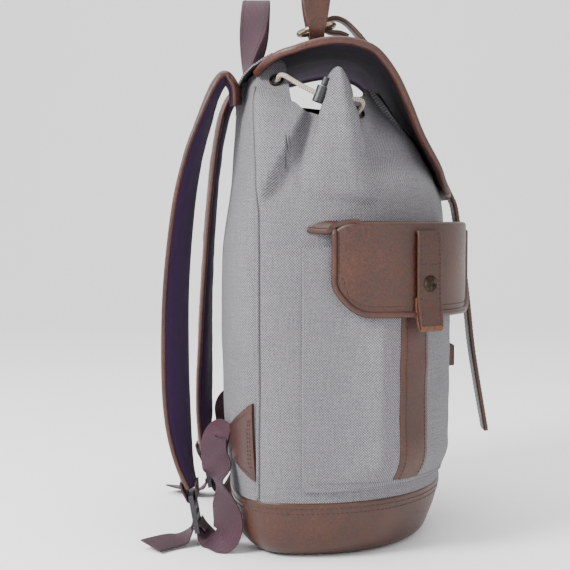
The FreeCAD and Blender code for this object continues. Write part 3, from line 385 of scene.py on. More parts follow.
M = {
    "canvas": woven("canvas_cloth", srgb(158, 157, 160), srgb(104, 102, 106), srgb(46, 44, 48), sheen=0.03),
    # the canvas painted darker for the inner faces of the cloth: painted shade inside the mouth and under the lid
    "shaded_canvas_in": woven("canvas_inside", srgb(96, 94, 98), srgb(66, 64, 69), srgb(40, 38, 43), sheen=0.03),
    "lining": woven("purple_lining", srgb(70, 38, 84), srgb(43, 21, 56), srgb(20, 9, 28), pitch=0.0011, sheen=0.04, depth=0.00015, heather=0.7),
    "leather": leather("brown_leather", srgb(80, 39, 20), srgb(58, 27, 14), srgb(38, 17, 9)),
    "edge": leather("leather_binding", srgb(86, 42, 27), srgb(60, 28, 19), srgb(38, 17, 13), grain=0.0009, rough=0.42),
    "dark": leather("anchor_leather", srgb(78, 40, 28), srgb(56, 27, 20), srgb(36, 17, 13), rough=0.42),
    "strap": leather("strap_leather", srgb(84, 44, 30), srgb(62, 31, 21), srgb(40, 19, 13), rough=0.44, coat=0.14),
    "raw": leather("raw_edge", srgb(124, 78, 38), srgb(94, 56, 26), srgb(60, 34, 17), grain=0.0006, rough=0.7, coat=0.0),
    "webbing": ribbed("purple_webbing", srgb(70, 26, 46), srgb(48, 15, 31), srgb(26, 8, 17)),
    "thread": ribbed("brown_thread", srgb(86, 48, 30), srgb(58, 30, 20), srgb(34, 18, 12), rib=0.0005),
    "thread_grey": ribbed("grey_thread", srgb(110, 108, 112), srgb(82, 80, 84), srgb(56, 54, 58), rib=0.0005),
    "brass": metal("antique_brass", srgb(206, 192, 168), srgb(168, 150, 122), srgb(104, 88, 68), 0.28),
    "bronze": metal("dark_bronze", srgb(92, 80, 66), srgb(54, 46, 38), srgb(26, 22, 20), 0.34),
    "plastic": plastic("black_plastic", srgb(38, 38, 42), srgb(20, 20, 23)),
    "steel": metal("spring_steel", srgb(200, 200, 205), srgb(160, 160, 166), srgb(110, 110, 116), 0.25),
    "board": plastic("stiffener_board", srgb(52, 50, 50), srgb(36, 34, 34), 0.6),
    "cord": braided("beige_braid", srgb(206, 196, 184), srgb(160, 146, 132), srgb(96, 84, 76)),
}

# --------------------------------------------------------------- mesh tools
PIECES = []


def add_piece(name, verts, faces, uvs, mats, body, nodes=(), face_mats=None, smooth=True, sharp=None):
    """verts in metres; uvs: one (u, v) per vertex, in metres."""
    me = bpy.data.meshes.new(name)
    me.from_pydata([tuple(v) for v in verts], [], faces)
    me.validate()
    uvl = me.uv_layers.new(name="UVMap")
    for loop in me.loops:
        uvl.data[loop.index].uv = uvs[loop.vertex_index]
    for m in mats if isinstance(mats, (list, tuple)) else [mats]:
        me.materials.append(M[m])
    if face_mats:
        for p, k in zip(me.polygons, face_mats):
            p.material_index = k
    for p in me.polygons:
        p.use_smooth = smooth
    ob = bpy.data.objects.new(name, me)
    bpy.context.scene.collection.objects.link(ob)
    if sharp:
        for o in bpy.context.selected_objects:
            o.select_set(False)
        me.set_sharp_from_angle(angle=math.radians(sharp))
    if body:
        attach(ob, body)
    if nodes:
        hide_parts(*nodes)
    PIECES.append(ob)
    return ob


def skin(rows_out, rows_in, uv_of, closed=False):
    """A closed thin solid from two grids of points with the same shape:
    outer rows and inner rows. Returns verts, faces, uvs and one tag per
    face: 0 outer, 1 inner, 2 rim."""
    nr, nc = len(rows_out), len(rows_out[0])
    verts, uvs = [], []
    for rows in (rows_out, rows_in):
        for i in range(nr):
            for j in range(nc):
                verts.append(rows[i][j])
                uvs.append(uv_of(i, j))
    base = nr * nc

    def o(i, j):
        return i * nc + (j % nc if closed else j)

    def q(i, j):
        return base + o(i, j)

    faces, tags = [], []
    last = nc if closed else nc - 1
    for i in range(nr - 1):
        for j in range(last):
            faces.append((o(i, j), o(i, j + 1), o(i + 1, j + 1), o(i + 1, j)))
            tags.append(0)
            faces.append((q(i + 1, j), q(i + 1, j + 1), q(i, j + 1), q(i, j)))
            tags.append(1)
    for j in range(last):
        faces.append((q(0, j), q(0, j + 1), o(0, j + 1), o(0, j)))
        tags.append(2)
        faces.append((o(nr - 1, j), o(nr - 1, j + 1), q(nr - 1, j + 1), q(nr - 1, j)))
        tags.append(2)
    if not closed:
        for i in range(nr - 1):
            faces.append((o(i, 0), o(i + 1, 0), q(i + 1, 0), q(i, 0)))
            tags.append(2)
            faces.append((q(i, nc - 1), q(i + 1, nc - 1), o(i + 1, nc - 1), o(i, nc - 1)))
            tags.append(2)
    return verts, faces, uvs, tags


def catmull(points, per):
    out = []
    n = len(points)
    for i in range(n - 1):
        p0, p1, p2, p3 = points[max(i - 1, 0)], points[i], points[i + 1], points[min(i + 2, n - 1)]
        for k in range(per):
            f = k / per
            out.append([0.5 * (2 * b + (c - a) * f + (2 * a - 5 * b + 4 * c - d) * f * f + (3 * b - a - 3 * c + d) * f ** 3)
                        for a, b, c, d in zip(p0, p1, p2, p3)])
    out.append(list(points[-1]))
    return out


def frames_of(rows, per):
    """Centres, tangents, width directions, normals and widths, in mm."""
    rows = catmull([list(r) for r in rows], per)
    mids = [Vector(r[:3]) for r in rows]
    out = []
    for i, r in enumerate(rows):
        a, b = mids[max(i - 1, 0)], mids[min(i + 1, len(rows) - 1)]
        tan = (b - a).normalized()
        side = Vector(r[3:6])
        side = (side - tan * side.dot(tan)).normalized()
        out.append([mids[i], tan, side, tan.cross(side), r[6]])
    return out


def flat_section(thick, corner=0.5, n=3, crown=0.0):
    """A flat strap's section: (across -1..1 with a fixed inset in mm, out)."""
    h = thick / 2.0
    pts = []
    for sx, sz in ((1, 1), (-1, 1), (-1, -1), (1, -1)):
        for k in range(n + 1):
            a = (k / n) * PI / 2
            if (sx, sz) in ((1, 1), (-1, -1)):
                ca, sa = math.cos(a), math.sin(a)
            else:
                ca, sa = math.sin(a), math.cos(a)
            pts.append((sx, -corner * (1 - ca), sz * (h - corner * (1 - sa))))
        mids = 4
        if (sx, sz) == (1, 1):
            for k in range(1, mids):
                pts.append((1 - 2 * k / mids, 0.0, h + crown * (1 - (1 - 2 * k / mids) ** 2)))
        if (sx, sz) == (-1, -1):
            for k in range(1, mids):
                pts.append((-1 + 2 * k / mids, 0.0, -h - crown * (1 - (-1 + 2 * k / mids) ** 2)))
    return pts


def pad_section(thick, edge, n=14):
    """A padded strap's section: full in the middle, thin at its sewn edges."""
    pts = []
    top = []
    for k in range(n + 1):
        a = 1 - 2 * k / n
        f = (1 - abs(a) ** 3.0) ** 0.7
        dip = 0.55 * math.exp(-(((abs(a) - 0.80) / 0.07) ** 2))
        top.append((a, 0.0, edge / 2 + (thick - edge) / 2 * f - dip))
    low = [(-a, ins, -h) for a, ins, h in top]
    return top + low


def sweep(name, rows, section, per, mats, body, nodes=(), side_mat=None, floor=None, wrinkle=None, cap=True, keep_frames=None):
    fr = frames_of(rows, per)
    if keep_frames is not None:
        keep_frames.extend(fr)
    verts, uvs, faces, fm = [], [], [], []
    ns = len(section)
    run = 0.0
    for i, (c, tan, side, nrm, w) in enumerate(fr):
        if i:
            run += (c - fr[i - 1][0]).length
        around = 0.0
        prev = None
        ring = []
        for a, inset, h in section:
            across = a * w / 2.0 + (math.copysign(1, a) * inset if inset else 0.0)
            if wrinkle:
                h = h + wrinkle(run, a, h)
            p = c + side * across + nrm * h
            ring.append(p)
            if prev is not None:
                around += (p - prev).length
            prev = p
            uvs.append((run / 1000.0, (across if abs(h) > 0.01 else around) / 1000.0))
        if floor is not None:
            low = min(p.z for p in ring)
            if low < floor:
                for p in ring:
                    p.z += floor - low
        verts.extend(p / 1000.0 for p in ring)
    for i in range(len(fr) - 1):
        for j in range(ns):
            a, b = i * ns + j, i * ns + (j + 1) % ns
            faces.append((a, b, b + ns, a + ns))
            fm.append(side_mat(j, ns) if side_mat else 0)
    if cap:
        faces.append(tuple(range(ns))[::-1])
        faces.append(tuple((len(fr) - 1) * ns + j for j in range(ns)))
        fm += [len(mats) - 1 if isinstance(mats, list) else 0] * 2
    return add_piece(name, verts, faces, uvs, mats, body, nodes, fm, sharp=55)


STITCH = {}


def stitch_run(points, normals, body, mat="thread", pitch=4.2, long=3.0, thick=0.75, lift=0.25, closed=False):
    """A row of single stitches along a line of points in mm."""
    key = (body, mat)
    verts, faces = STITCH.setdefault(key, ([], []))
    total = [0.0]
    for a, b in zip(points, points[1:]):
        total.append(total[-1] + (b - a).length)
    if total[-1] < pitch:
        return

    def at(d):
        d = min(max(d, 0.0), total[-1] - 1e-6)
        lo, hi = 0, len(total) - 1
        while hi - lo > 1:
            m = (lo + hi) // 2
            if total[m] <= d:
                lo = m
            else:
                hi = m
        f = (d - total[lo]) / max(1e-9, total[lo + 1] - total[lo])
        return points[lo].lerp(points[lo + 1], f), normals[lo].lerp(normals[lo + 1], f).normalized()

    count = int(total[-1] / pitch)
    for k in range(count):
        d = (k + 0.5) * pitch
        p, n = at(d)
        a, _ = at(d - long / 2)
        b, _ = at(d + long / 2)
        tan = (b - a)
        if tan.length < 1e-6:
            continue
        tan.normalize()
        side = tan.cross(n).normalized()
        n = side.cross(tan).normalized()
        base = len(verts)
        rows = ((-0.5, 0.25, -0.25), (-0.32, 0.9, 0.55), (0.0, 1.0, 0.75), (0.32, 0.9, 0.55), (0.5, 0.25, -0.25))
        for fx, fw, fh in rows:
            c = p + tan * (fx * long)
            for dx, dz in ((-0.5, 0.0), (-0.3, 0.8), (0.3, 0.8), (0.5, 0.0)):
                q = c + side * (dx * thick * fw) + n * (lift * fh + dz * thick * 0.55 * fw - 0.1)
                verts.append(q / 1000.0)
        for i in range(4):
            for j in range(4):
                j2 = (j + 1) % 4
                faces.append((base + i * 4 + j, base + (i + 1) * 4 + j, base + (i + 1) * 4 + j2, base + i * 4 + j2))
        faces.append((base, base + 1, base + 2, base + 3))
        faces.append((base + 19, base + 18, base + 17, base + 16))


def flush_stitches():
    for (body, mat), (verts, faces) in STITCH.items():
        if not verts:
            continue
        uvs = [(v.x * 1.0 + v.y, v.z) for v in verts]
        add_piece("stitches_%s_%s" % (body, mat), verts, faces, uvs, mat, body)

# ------------------------------------------------------------------- body
def find_seam(z):
    lo, hi = PI / 2 + 0.02, PI - 0.001
    for _ in range(40):
        m = (lo + hi) / 2
        if plan(m, z)[1] > 66.0:
            lo = m
        else:
            hi = m
    return (lo + hi) / 2


def side_of(t):
    """1 on the -X side, -1 on the +X side."""
    return 1.0 if math.cos(t) < 0 else -1.0


HEM = [(-95, 380), (-60, 383), (-30, 381), (-20, 373), (-10, 368), (0, 355), (12, 352), (26, 357), (39, 366), (43, 389), (47, 401), (51, 404), (56, 402), (64, 396), (72, 390), (80, 386)]
HEM_FAR = [(-95, 380), (-60, 384), (-20, 381), (0, 378), (26, 380), (50, 382), (80, 385)]


def hem_z(t):
    x, y = plan(t, 372.0)
    return table_value(HEM if x < 0 else HEM_FAR, y)


def quiet(p):
    """0 beside an eyelet, 1 away from it: the cloth stays on the CAD surface there."""
    q = 1.0
    for e in ((-92.93, 51.0, 384.0), (-101.57, -14.0, 357.0)):
        q = min(q, step(8.0, 20.0, (p - Vector(e)).length))
    return q


def folds(t, z):
    """How far the canvas stands off its plain surface, in mm."""
    p = outline(t, z)
    top = step(285.0, 372.0, z)
    arc = p.y if abs(math.cos(t)) > 0.5 else p.x
    d = 0.0
    gather = math.sin(arc / 6.3 + 0.9 * math.sin(arc / 17.0) + z / 80.0) * 0.6 + math.sin(arc / 10.7 + 1.3) * 0.5
    d += top * gather * 3.4
    # soft slack in the filled bag
    low = step(60.0, 120.0, z) * (1 - step(280.0, 330.0, z))
    d += low * (1.3 * wob(p.x, p.y, p.z, 58.0, 1.0) + 0.7 * wob(p.x, p.y, p.z * 0.6, 26.0, 4.0))
    d += (1 - low) * 0.6 * wob(p.x, p.y, p.z, 30.0, 2.0)
    # the sag of the shoulder where the side turns into the top
    shoulder = math.exp(-(((z - 303.0) / 15.0) ** 2))
    front = step(6.0, -28.0, p.y) * step(0.25, 0.6, abs(math.cos(t)))
    d += 4.5 * shoulder * front
    d -= 5.5 * math.exp(-(((z - 328.0 - 0.1 * p.y) / 17.0) ** 2)) * front
    if math.cos(t) < -0.3:
        # the pleat that runs down and back from the middle of the side
        edge = 26.0 + (359.0 - z) * 34.0 / 72.0
        k = step(274.0, 300.0, z) * step(72.0, 60.0, p.y)
        d += k * 7.0 * step(edge - 2.0, edge + 3.0, p.y) * step(86.0, 58.0, p.y) * step(398.0, 366.0, z)
        d -= k * 3.6 * math.exp(-(((p.y - edge + 8.0) / 6.5) ** 2))
        # the dark valley beside the near fold
        valley = 24.0 + (355.0 - z) * 0.27
        d -= step(280.0, 318.0, z) * step(372.0, 340.0, z) * 6.0 * math.exp(-(((p.y - valley) / 7.5) ** 2)) * step(40.0, 30.0, p.y)
    # pulled in along the side seam
    st = find_seam_cached(z)
    ang = min(abs(t - st), abs((3 * PI - st) - t), abs(t + 2 * PI - (3 * PI - st)))
    d -= 1.0 * math.exp(-((ang / 0.035) ** 2))
    return d * quiet(p)


_seams = {}


def find_seam_cached(z):
    k = round(z)
    if k not in _seams:
        _seams[k] = find_seam(float(k))
    return _seams[k]


def body_point(t, z, off=0.0):
    return outline(t, z, off + folds(t, z))


NT = 300
_arc = [0.0]
for _k in range(1, NT + 1):
    a = plan(2 * PI * (_k - 1) / NT, 150.0)
    b = plan(2 * PI * _k / NT, 150.0)
    _arc.append(_arc[-1] + math.hypot(b[0] - a[0], b[1] - a[1]))


def arc_at(t):
    f = (t % (2 * PI)) / (2 * PI) * NT
    k = min(int(f), NT - 1)
    return lerp(_arc[k], _arc[k + 1], f - k)


def t_rows(lo, hi, n):
    """Angles spaced evenly along the wall, since the outline runs fast at its corners."""
    fine = [lo + (hi - lo) * k / (n * 6) for k in range(n * 6 + 1)]
    run = [0.0]
    for a, b in zip(fine, fine[1:]):
        p, q = plan(a, 150.0), plan(b, 150.0)
        run.append(run[-1] + math.hypot(q[0] - p[0], q[1] - p[1]))
    out, k = [], 0
    for i in range(n + 1):
        want = run[-1] * i / n
        while k < len(run) - 2 and run[k + 1] < want:
            k += 1
        f = (want - run[k]) / max(1e-9, run[k + 1] - run[k])
        out.append(lerp(fine[k], fine[k + 1], f))
    return out


def wall(name, ts, zs_of, out_off, in_off, mats, body, nodes, closed=False, shape=body_point, shape_in=None, tags_mat=(0, 0, 0), sharp=50):
    """A curved panel: ts are its angles, zs_of(t) its heights from bottom to top."""
    cols = [zs_of(t) for t in ts]
    nr = len(cols[0])
    shape_in = shape_in or shape
    outer = [[shape(t, cols[j][i], out_off(t, cols[j][i])) for j, t in enumerate(ts)] for i in range(nr)]
    inner = [[shape_in(t, cols[j][i], in_off(t, cols[j][i])) for j, t in enumerate(ts)] for i in range(nr)]
    us = [0.0]
    for a, b in zip(ts, ts[1:]):
        p, q = plan(a, 150.0), plan(b, 150.0)
        us.append(us[-1] + math.hypot(q[0] - p[0], q[1] - p[1]))
    verts, faces, uvs, tags = skin([[p / 1000 for p in r] for r in outer], [[p / 1000 for p in r] for r in inner],
                                   lambda i, j: (us[j] / 1000.0, cols[j][i] / 1000.0), closed)
    return add_piece(name, verts, faces, uvs, mats, body, nodes, [tags_mat[k] for k in tags], sharp=sharp), outer


T_ALL = t_rows(0.0, 2 * PI, 330)[:-1]
Z_BODY = [3.0, 12.0, 24.0, 36.0] + [44.0 + 4.4 * k for k in range(0, 74)]


def body_heights(t):
    top = hem_z(t)
    zs = [44.0 + (top - 44.0) * k / 88.0 for k in range(89)]
    return zs


def hem_roll(t, z):
    """A turned hem: a doubled band 16 mm deep at the mouth."""
    top = hem_z(t)
    return 0.7 * step(top - 17.0, top - 15.5, z) - 0.5 * math.exp(-(((z - top + 16.5) / 1.0) ** 2))


# the wall's inner faces take the darker canvas copy, which is painted shade
shell, shell_grid = wall("canvas_body", T_ALL + [T_ALL[0] + 2 * PI - 1e-9], body_heights, hem_roll, lambda t, z: -1.9, ["canvas", "shaded_canvas_in"], "bag",
                         ("front_panel", "back_panel"), tags_mat=(0, 1, 0))

# the purple lining inside the mouth and down the bag
wall("bag_lining", t_rows(0.0, 2 * PI, 150), lambda t: [9.0 + (hem_z(t) - 14.0 - 9.0) * k / 40.0 for k in range(41)],
     lambda t, z: -4.6, lambda t, z: -5.4, ["lining"], "bag", ("lining_bag",))


# the leather base: a tub that wraps under the bag
def base_zs(t):
    return [0.6, 1.4, 3.0, 6.0, 10.0, 15.0, 20.0, 26.0, 32.0, 38.0, 42.0, 44.0, 45.6, 46.6, 47.2]


def base_out(t, z):
    d = 1.2 + 0.5 * wob(*outline(t, z), 24.0, 7.0)
    d -= 0.55 * math.exp(-(((z - 40.5) / 0.9) ** 2))
    d -= 0.8 * step(46.2, 47.3, z)
    d -= 3.0 * step(3.0, 0.4, z)
    return d


tub, tub_grid = wall("base_leather", T_ALL + [T_ALL[0] + 2 * PI - 1e-9], base_zs, base_out, lambda t, z: -1.4, ["leather", "edge"], "bag",
                     ("base_tub",), shape=outline, tags_mat=(0, 0, 1))

# the flat underside, with a soft turned rim
rims = []
for r, z in ((0.0, 0.9), (0.35, 0.7), (0.7, 0.4), (0.93, 0.1), (0.985, 0.35), (1.0, 1.3), (0.99, 2.3), (0.9, 2.5), (0.5, 2.5), (0.0, 2.5)):
    rims.append([Vector((lerp(0.0, q.x, r), lerp(0.0, q.y, r), z)) for q in (outline(t, 0.0, -0.6) for t in T_ALL[::3])])
verts = [p / 1000 for r in rims for p in r]
n = len(rims[0])
faces = [(i * n + j, i * n + (j + 1) % n, (i + 1) * n + (j + 1) % n, (i + 1) * n + j) for i in range(len(rims) - 1) for j in range(n)]
faces = [f[::-1] for f in faces]
add_piece("base_underside", verts, faces, [(v.x, v.y) for v in verts], "leather", "bag", ("base_bottom",))

# the fold at the top of the tub and its two stitch rows
for zz, off in ((42.6, 1.5), (38.6, 1.45)):
    ts = t_rows(0.0, 2 * PI, 360)
    pts = [outline(t, zz, base_out(t, zz) + 0.05) for t in ts]
    nrm = [(outline(t, zz, 1.0) - outline(t, zz)).normalized() for t in ts]
    stitch_run(pts, nrm, "bag", "thread", 4.0, 2.8)


def tube(name, points, radius, mats, body, nodes=(), sides=10, closed=False, taper=0):
    pts = points
    n = len(pts)
    verts, uvs, faces = [], [], []
    ref = Vector((0.3, 0.2, 0.93))
    run = 0.0
    for i, p in enumerate(pts):
        a = pts[(i - 1) % n] if closed else pts[max(i - 1, 0)]
        b = pts[(i + 1) % n] if closed else pts[min(i + 1, n - 1)]
        tan = (b - a).normalized()
        ref = (ref - tan * ref.dot(tan)).normalized()
        oth = tan.cross(ref)
        r = radius(i / (n - 1)) if callable(radius) else radius
        if i:
            run += (p - pts[i - 1]).length
        for k in range(sides):
            a2 = 2 * PI * k / sides
            verts.append((p + (ref * math.cos(a2) + oth * math.sin(a2)) * r) / 1000.0)
            uvs.append((run / 1000.0, r * a2 / 1000.0))
    for i in range(n if closed else n - 1):
        for k in range(sides):
            a, b = i * sides + k, i * sides + (k + 1) % sides
            c, d = ((i + 1) % n) * sides + (k + 1) % sides, ((i + 1) % n) * sides + k
            faces.append((a, b, c, d))
    if not closed:
        faces.append(tuple(range(sides))[::-1])
        faces.append(tuple((n - 1) * sides + k for k in range(sides)))
    return add_piece(name, verts, faces, uvs, mats, body, nodes)


# piping down each side seam, with top-stitching on the canvas beside it
for sign, label in ((1, "left"), (-1, "right")):
    zs = [49.0 + (379.0 - 49.0) * k / 110 for k in range(111)]
    def seam_pt(z, dt=0.0, off=0.0):
        t = find_seam(z)
        t = t + dt if sign > 0 else 3 * PI - t - dt
        return body_point(t, z, off)
    def seam_n(z):
        t = find_seam(z)
        t = t if sign > 0 else 3 * PI - t
        return (outline(t, z, 1.0) - outline(t, z)).normalized()
    tube("seam_piping_" + label, [seam_pt(z, 0.0, 0.9) for z in zs], 1.45, "canvas", "bag", ("side_seam_" + label,))
    for dt in (-0.022, 0.022):
        stitch_run([seam_pt(z, dt, 0.1) for z in zs[:-4]], [seam_n(z) for z in zs[:-4]], "bag", "thread_grey", 3.6, 2.5, 0.55)


# the near fold of the gathered mouth, standing proud of the wall, open above
# so that the drawcord runs behind it
FX = [(262, -139.6), (280, -142.2), (297, -145.6), (313, -147.0), (330, -145.5), (350, -140.0), (370, -133.0), (392, -125.5), (400, -121.0)]
FL = [(270, 40.0), (285, 37.0), (302, 32.5), (325, 25.0), (350, 18.0), (372, 13.5), (392, 11.0)]
FRR = [(270, -34.0), (285, -31.0), (302, -26.0), (325, -20.0), (350, -15.0), (372, -10.5), (392, -6.5)]


def fold_pt(s, z, back=0.0):
    yl, yr = table_value(FL, z), table_value(FRR, z)
    y = lerp(yl, yr, (s + 1) / 2)
    xf = table_value(FX, z)
    t = PI
    # the wall behind, at this height and y
    lo, hi = PI * 0.60, PI * 1.4
    for _ in range(26):
        m = (lo + hi) / 2
        if plan(m, z)[1] > y:
            lo = m
        else:
            hi = m
    wallp = body_point((lo + hi) / 2, z, -1.2)
    up = step(290.0, 352.0, z)
    bow = 1.0 - abs(s) ** 2.6 * lerp(1.0, 0.62, up)
    ripple = 1.5 * math.sin(s * 4.0 + z / 40.0) * up
    x = lerp(wallp.x, xf, bow) + ripple
    merge = step(274.0, 292.0, z)
    x = lerp(wallp.x + 1.6, x, merge)
    return Vector((x + back, y, z))


def fold_top(s):
    return 391.5 - 9.0 * abs(s - 0.1) ** 2 - 3.0 * s


nr, nc = 44, 26
outer, inner = [], []
for i in range(nr + 1):
    ro, ri = [], []
    for j in range(nc + 1):
        s = -1 + 2 * j / nc
        top = fold_top(s)
        z = 272.0 + (top - 272.0) * i / nr
        hem = 0.6 * step(top - 17.0, top - 15.5, z)
        p = fold_pt(s, z)
        ro.append(Vector((p.x - hem, p.y, p.z)) / 1000)
        ri.append(Vector((p.x + 2.0, p.y, p.z)) / 1000)
    outer.append(ro)
    inner.append(ri)
v, f, uv, tg = skin(outer, inner, lambda i, j: (0.3 + outer[i][j].y, outer[i][j].z))
# the fold's inner face takes the darker canvas copy, which is painted shade
add_piece("mouth_fold", v, f, uv, ["canvas", "shaded_canvas_in"], "bag", (), [(0, 1, 0)[k] for k in tg], sharp=50)


# ----------------------------------------------------------------- pockets
def bulge(t, z):
    f = (t - PI - 0.005) / 1.245
    f = min(1.0, max(0.0, f))
    shape = (1 - abs(2 * f - 1) ** 4) * min(1.0, f / 0.33) ** 3.0
    return 0.4 + 2.4 + 14.6 * shape * max(0.0, math.sin(min(1.0, (z - 58.0) / 26.0) * PI / 2)) ** 0.8


def mirrored(v):
    return Vector((-v.x, v.y, v.z))


def flip(faces):
    return [f[::-1] for f in faces]


T_POCKET = t_rows(PI + 0.005, PI + 1.25, 92)
Z_POCKET = [58.0, 59.0, 60.5, 63.0, 66.0, 70.0, 75.0] + [80.0 + 170.0 * k / 46 for k in range(47)]


def pocket_pt(t, z, off=0.0):
    d = bulge(t, z) + off
    p = outline(t, z)
    mid = min(1.0, min(t - PI - 0.16, PI + 1.25 - t) / 0.16)
    mid = max(0.0, mid) * step(62.0, 84.0, z)
    d += mid * (1.2 * wob(p.x, p.y, p.z, 40.0, 6.0) + 0.7 * wob(p.x, p.y, p.z, 17.0, 8.0))
    # flattened under the flap
    d -= 1.2 * step(238.0, 250.0, z) * mid
    return outline(t, z, d)


pocket_outer = {}
for sign, label in ((1, "left"), (-1, "right")):
    outer = [[pocket_pt(t, z) for t in T_POCKET] for z in Z_POCKET]
    inner = [[pocket_pt(t, z, -2.2) for t in T_POCKET] for z in Z_POCKET]
    us = [0.0]
    for a, b in zip(outer[30], outer[30][1:]):
        us.append(us[-1] + (b - a).length)
    g = (lambda v: v) if sign > 0 else mirrored
    v, f, uv, tg = skin([[g(p) / 1000 for p in r] for r in outer], [[g(p) / 1000 for p in r] for r in inner],
                        lambda i, j: (us[j] / 1000, Z_POCKET[i] / 1000))
    add_piece("pocket_" + label, v, f if sign > 0 else flip(f), uv, ["canvas", "lining"], "bag", ("pocket_body_" + label,),
              [(0, 1, 0)[k] for k in tg], sharp=50)
    # piping round the pocket's two sides and its foot
    path = [outline(T_POCKET[0] - 0.004, z, 1.6) for z in range(250, 60, -6)]
    path += [outline(t, 57.6, 1.9) for t in t_rows(PI + 0.002, PI + 1.252, 60)]
    path += [outline(T_POCKET[-1] + 0.004, z, 1.6) for z in range(62, 252, 6)]
    tube("pocket_piping_" + label, [g(p) for p in path], 1.35, "canvas", "bag", ())
    # the leather strip up the middle of the pocket
    ts = t_rows(PI + 0.64 - 0.105, PI + 0.64 + 0.105, 12)
    zs = [64.0 + 186.0 * k / 60 for k in range(61)]
    lift_of = [0.5, 1.5, 1.9, 2.0, 2.0, 2.0, 2.0, 2.0, 2.0, 2.0, 1.9, 1.5, 0.5]
    so = [[g(pocket_pt(t, z, lift_of[j])) / 1000 for j, t in enumerate(ts)] for z in zs]
    si = [[g(pocket_pt(t, z, 0.1)) / 1000 for t in ts] for z in zs]
    v, f, uv, tg = skin(so, si, lambda i, j: (j * 0.002, zs[i] / 1000))
    add_piece("pocket_leather_" + label, v, f if sign > 0 else flip(f), uv, ["leather", "edge"], "bag", ("pocket_strip_" + label,),
              [(0, 0, 1)[k] for k in tg], sharp=50)
    for k in (2, 10):
        pts = [g(pocket_pt(ts[k], z, 2.0)) for z in zs]
        nn = [(g(pocket_pt(ts[k], z, 3.0)) - g(pocket_pt(ts[k], z, 2.0))).normalized() for z in zs]
        stitch_run(pts, nn, "bag", "thread", 3.6, 2.6, 0.6)
    pts = [g(pocket_pt(t, 63.0, 0.15)) for t in T_POCKET[2:-2]]
    nn = [(g(pocket_pt(t, 63.0, 1.15)) - g(pocket_pt(t, 63.0, 0.15))).normalized() for t in T_POCKET[2:-2]]
    stitch_run(pts, nn, "bag", "thread_grey", 3.6, 2.5, 0.55)

# ------------------------------------------------------------ pocket flaps
FC = Vector((-64.3, -17.6, 0.0))
FR, FT = 90.0, 3.0
FDIR = math.atan2(-0.607, -0.795)
SPAN = math.radians(52.6)


def flap_low(u):
    a = abs(u)
    return 197.0 + 22.0 * max(0.0, (a - 0.62) / 0.38) ** 2.4


def flap_high(u):
    return 268.8 - 6.0 * max(0.0, (abs(u) - 0.8) / 0.2) ** 2


def drum(u, r, z):
    a = FDIR + u * SPAN
    return Vector((FC.x + r * math.cos(a), FC.y + r * math.sin(a), z))


def ledge_in(u):
    return outline(PI + 0.02 + 1.16 * (u + 1) / 2, 266.0, 0.9)


def flap_wave(u, z):
    a = 1.0 - abs(u) ** 4
    return a * (0.5 * math.sin(u * 5.0 + 1.0) + 0.5 * wob(u * 70.0, z, 0.0, 30.0, 3.0)) * step(262.0, 235.0, z)


def flap_section(u):
    """The leather's outer line from the wall, over the fold and down, in mm."""
    a = ledge_in(u)
    hi = flap_high(u)
    low = flap_low(u)
    lipz = hi - 0.4
    pts = []
    edge = drum(u, FR, lipz)
    flat = Vector((edge.x - a.x, edge.y - a.y, 0))
    for k in range(9):
        f = k / 9.0
        p = a + flat * f
        p.z = lerp(hi + 1.2, hi + 0.5, f) - 0.9 * math.sin(f * PI)
        if f * flat.length > flat.length - 3.2:
            break
        pts.append(p)
    rad = 3.0
    for k in range(6):
        ang = PI / 2 * k / 5
        r = FR - rad + rad * math.sin(ang)
        z = lipz + 0.9 - rad + rad * math.cos(ang)
        pts.append(drum(u, r, z))
    n = 40
    for k in range(1, n + 1):
        z = lerp(lipz + 0.9 - rad, low + 1.0, k / n)
        pts.append(drum(u, FR + flap_wave(u, z), z))
    return pts


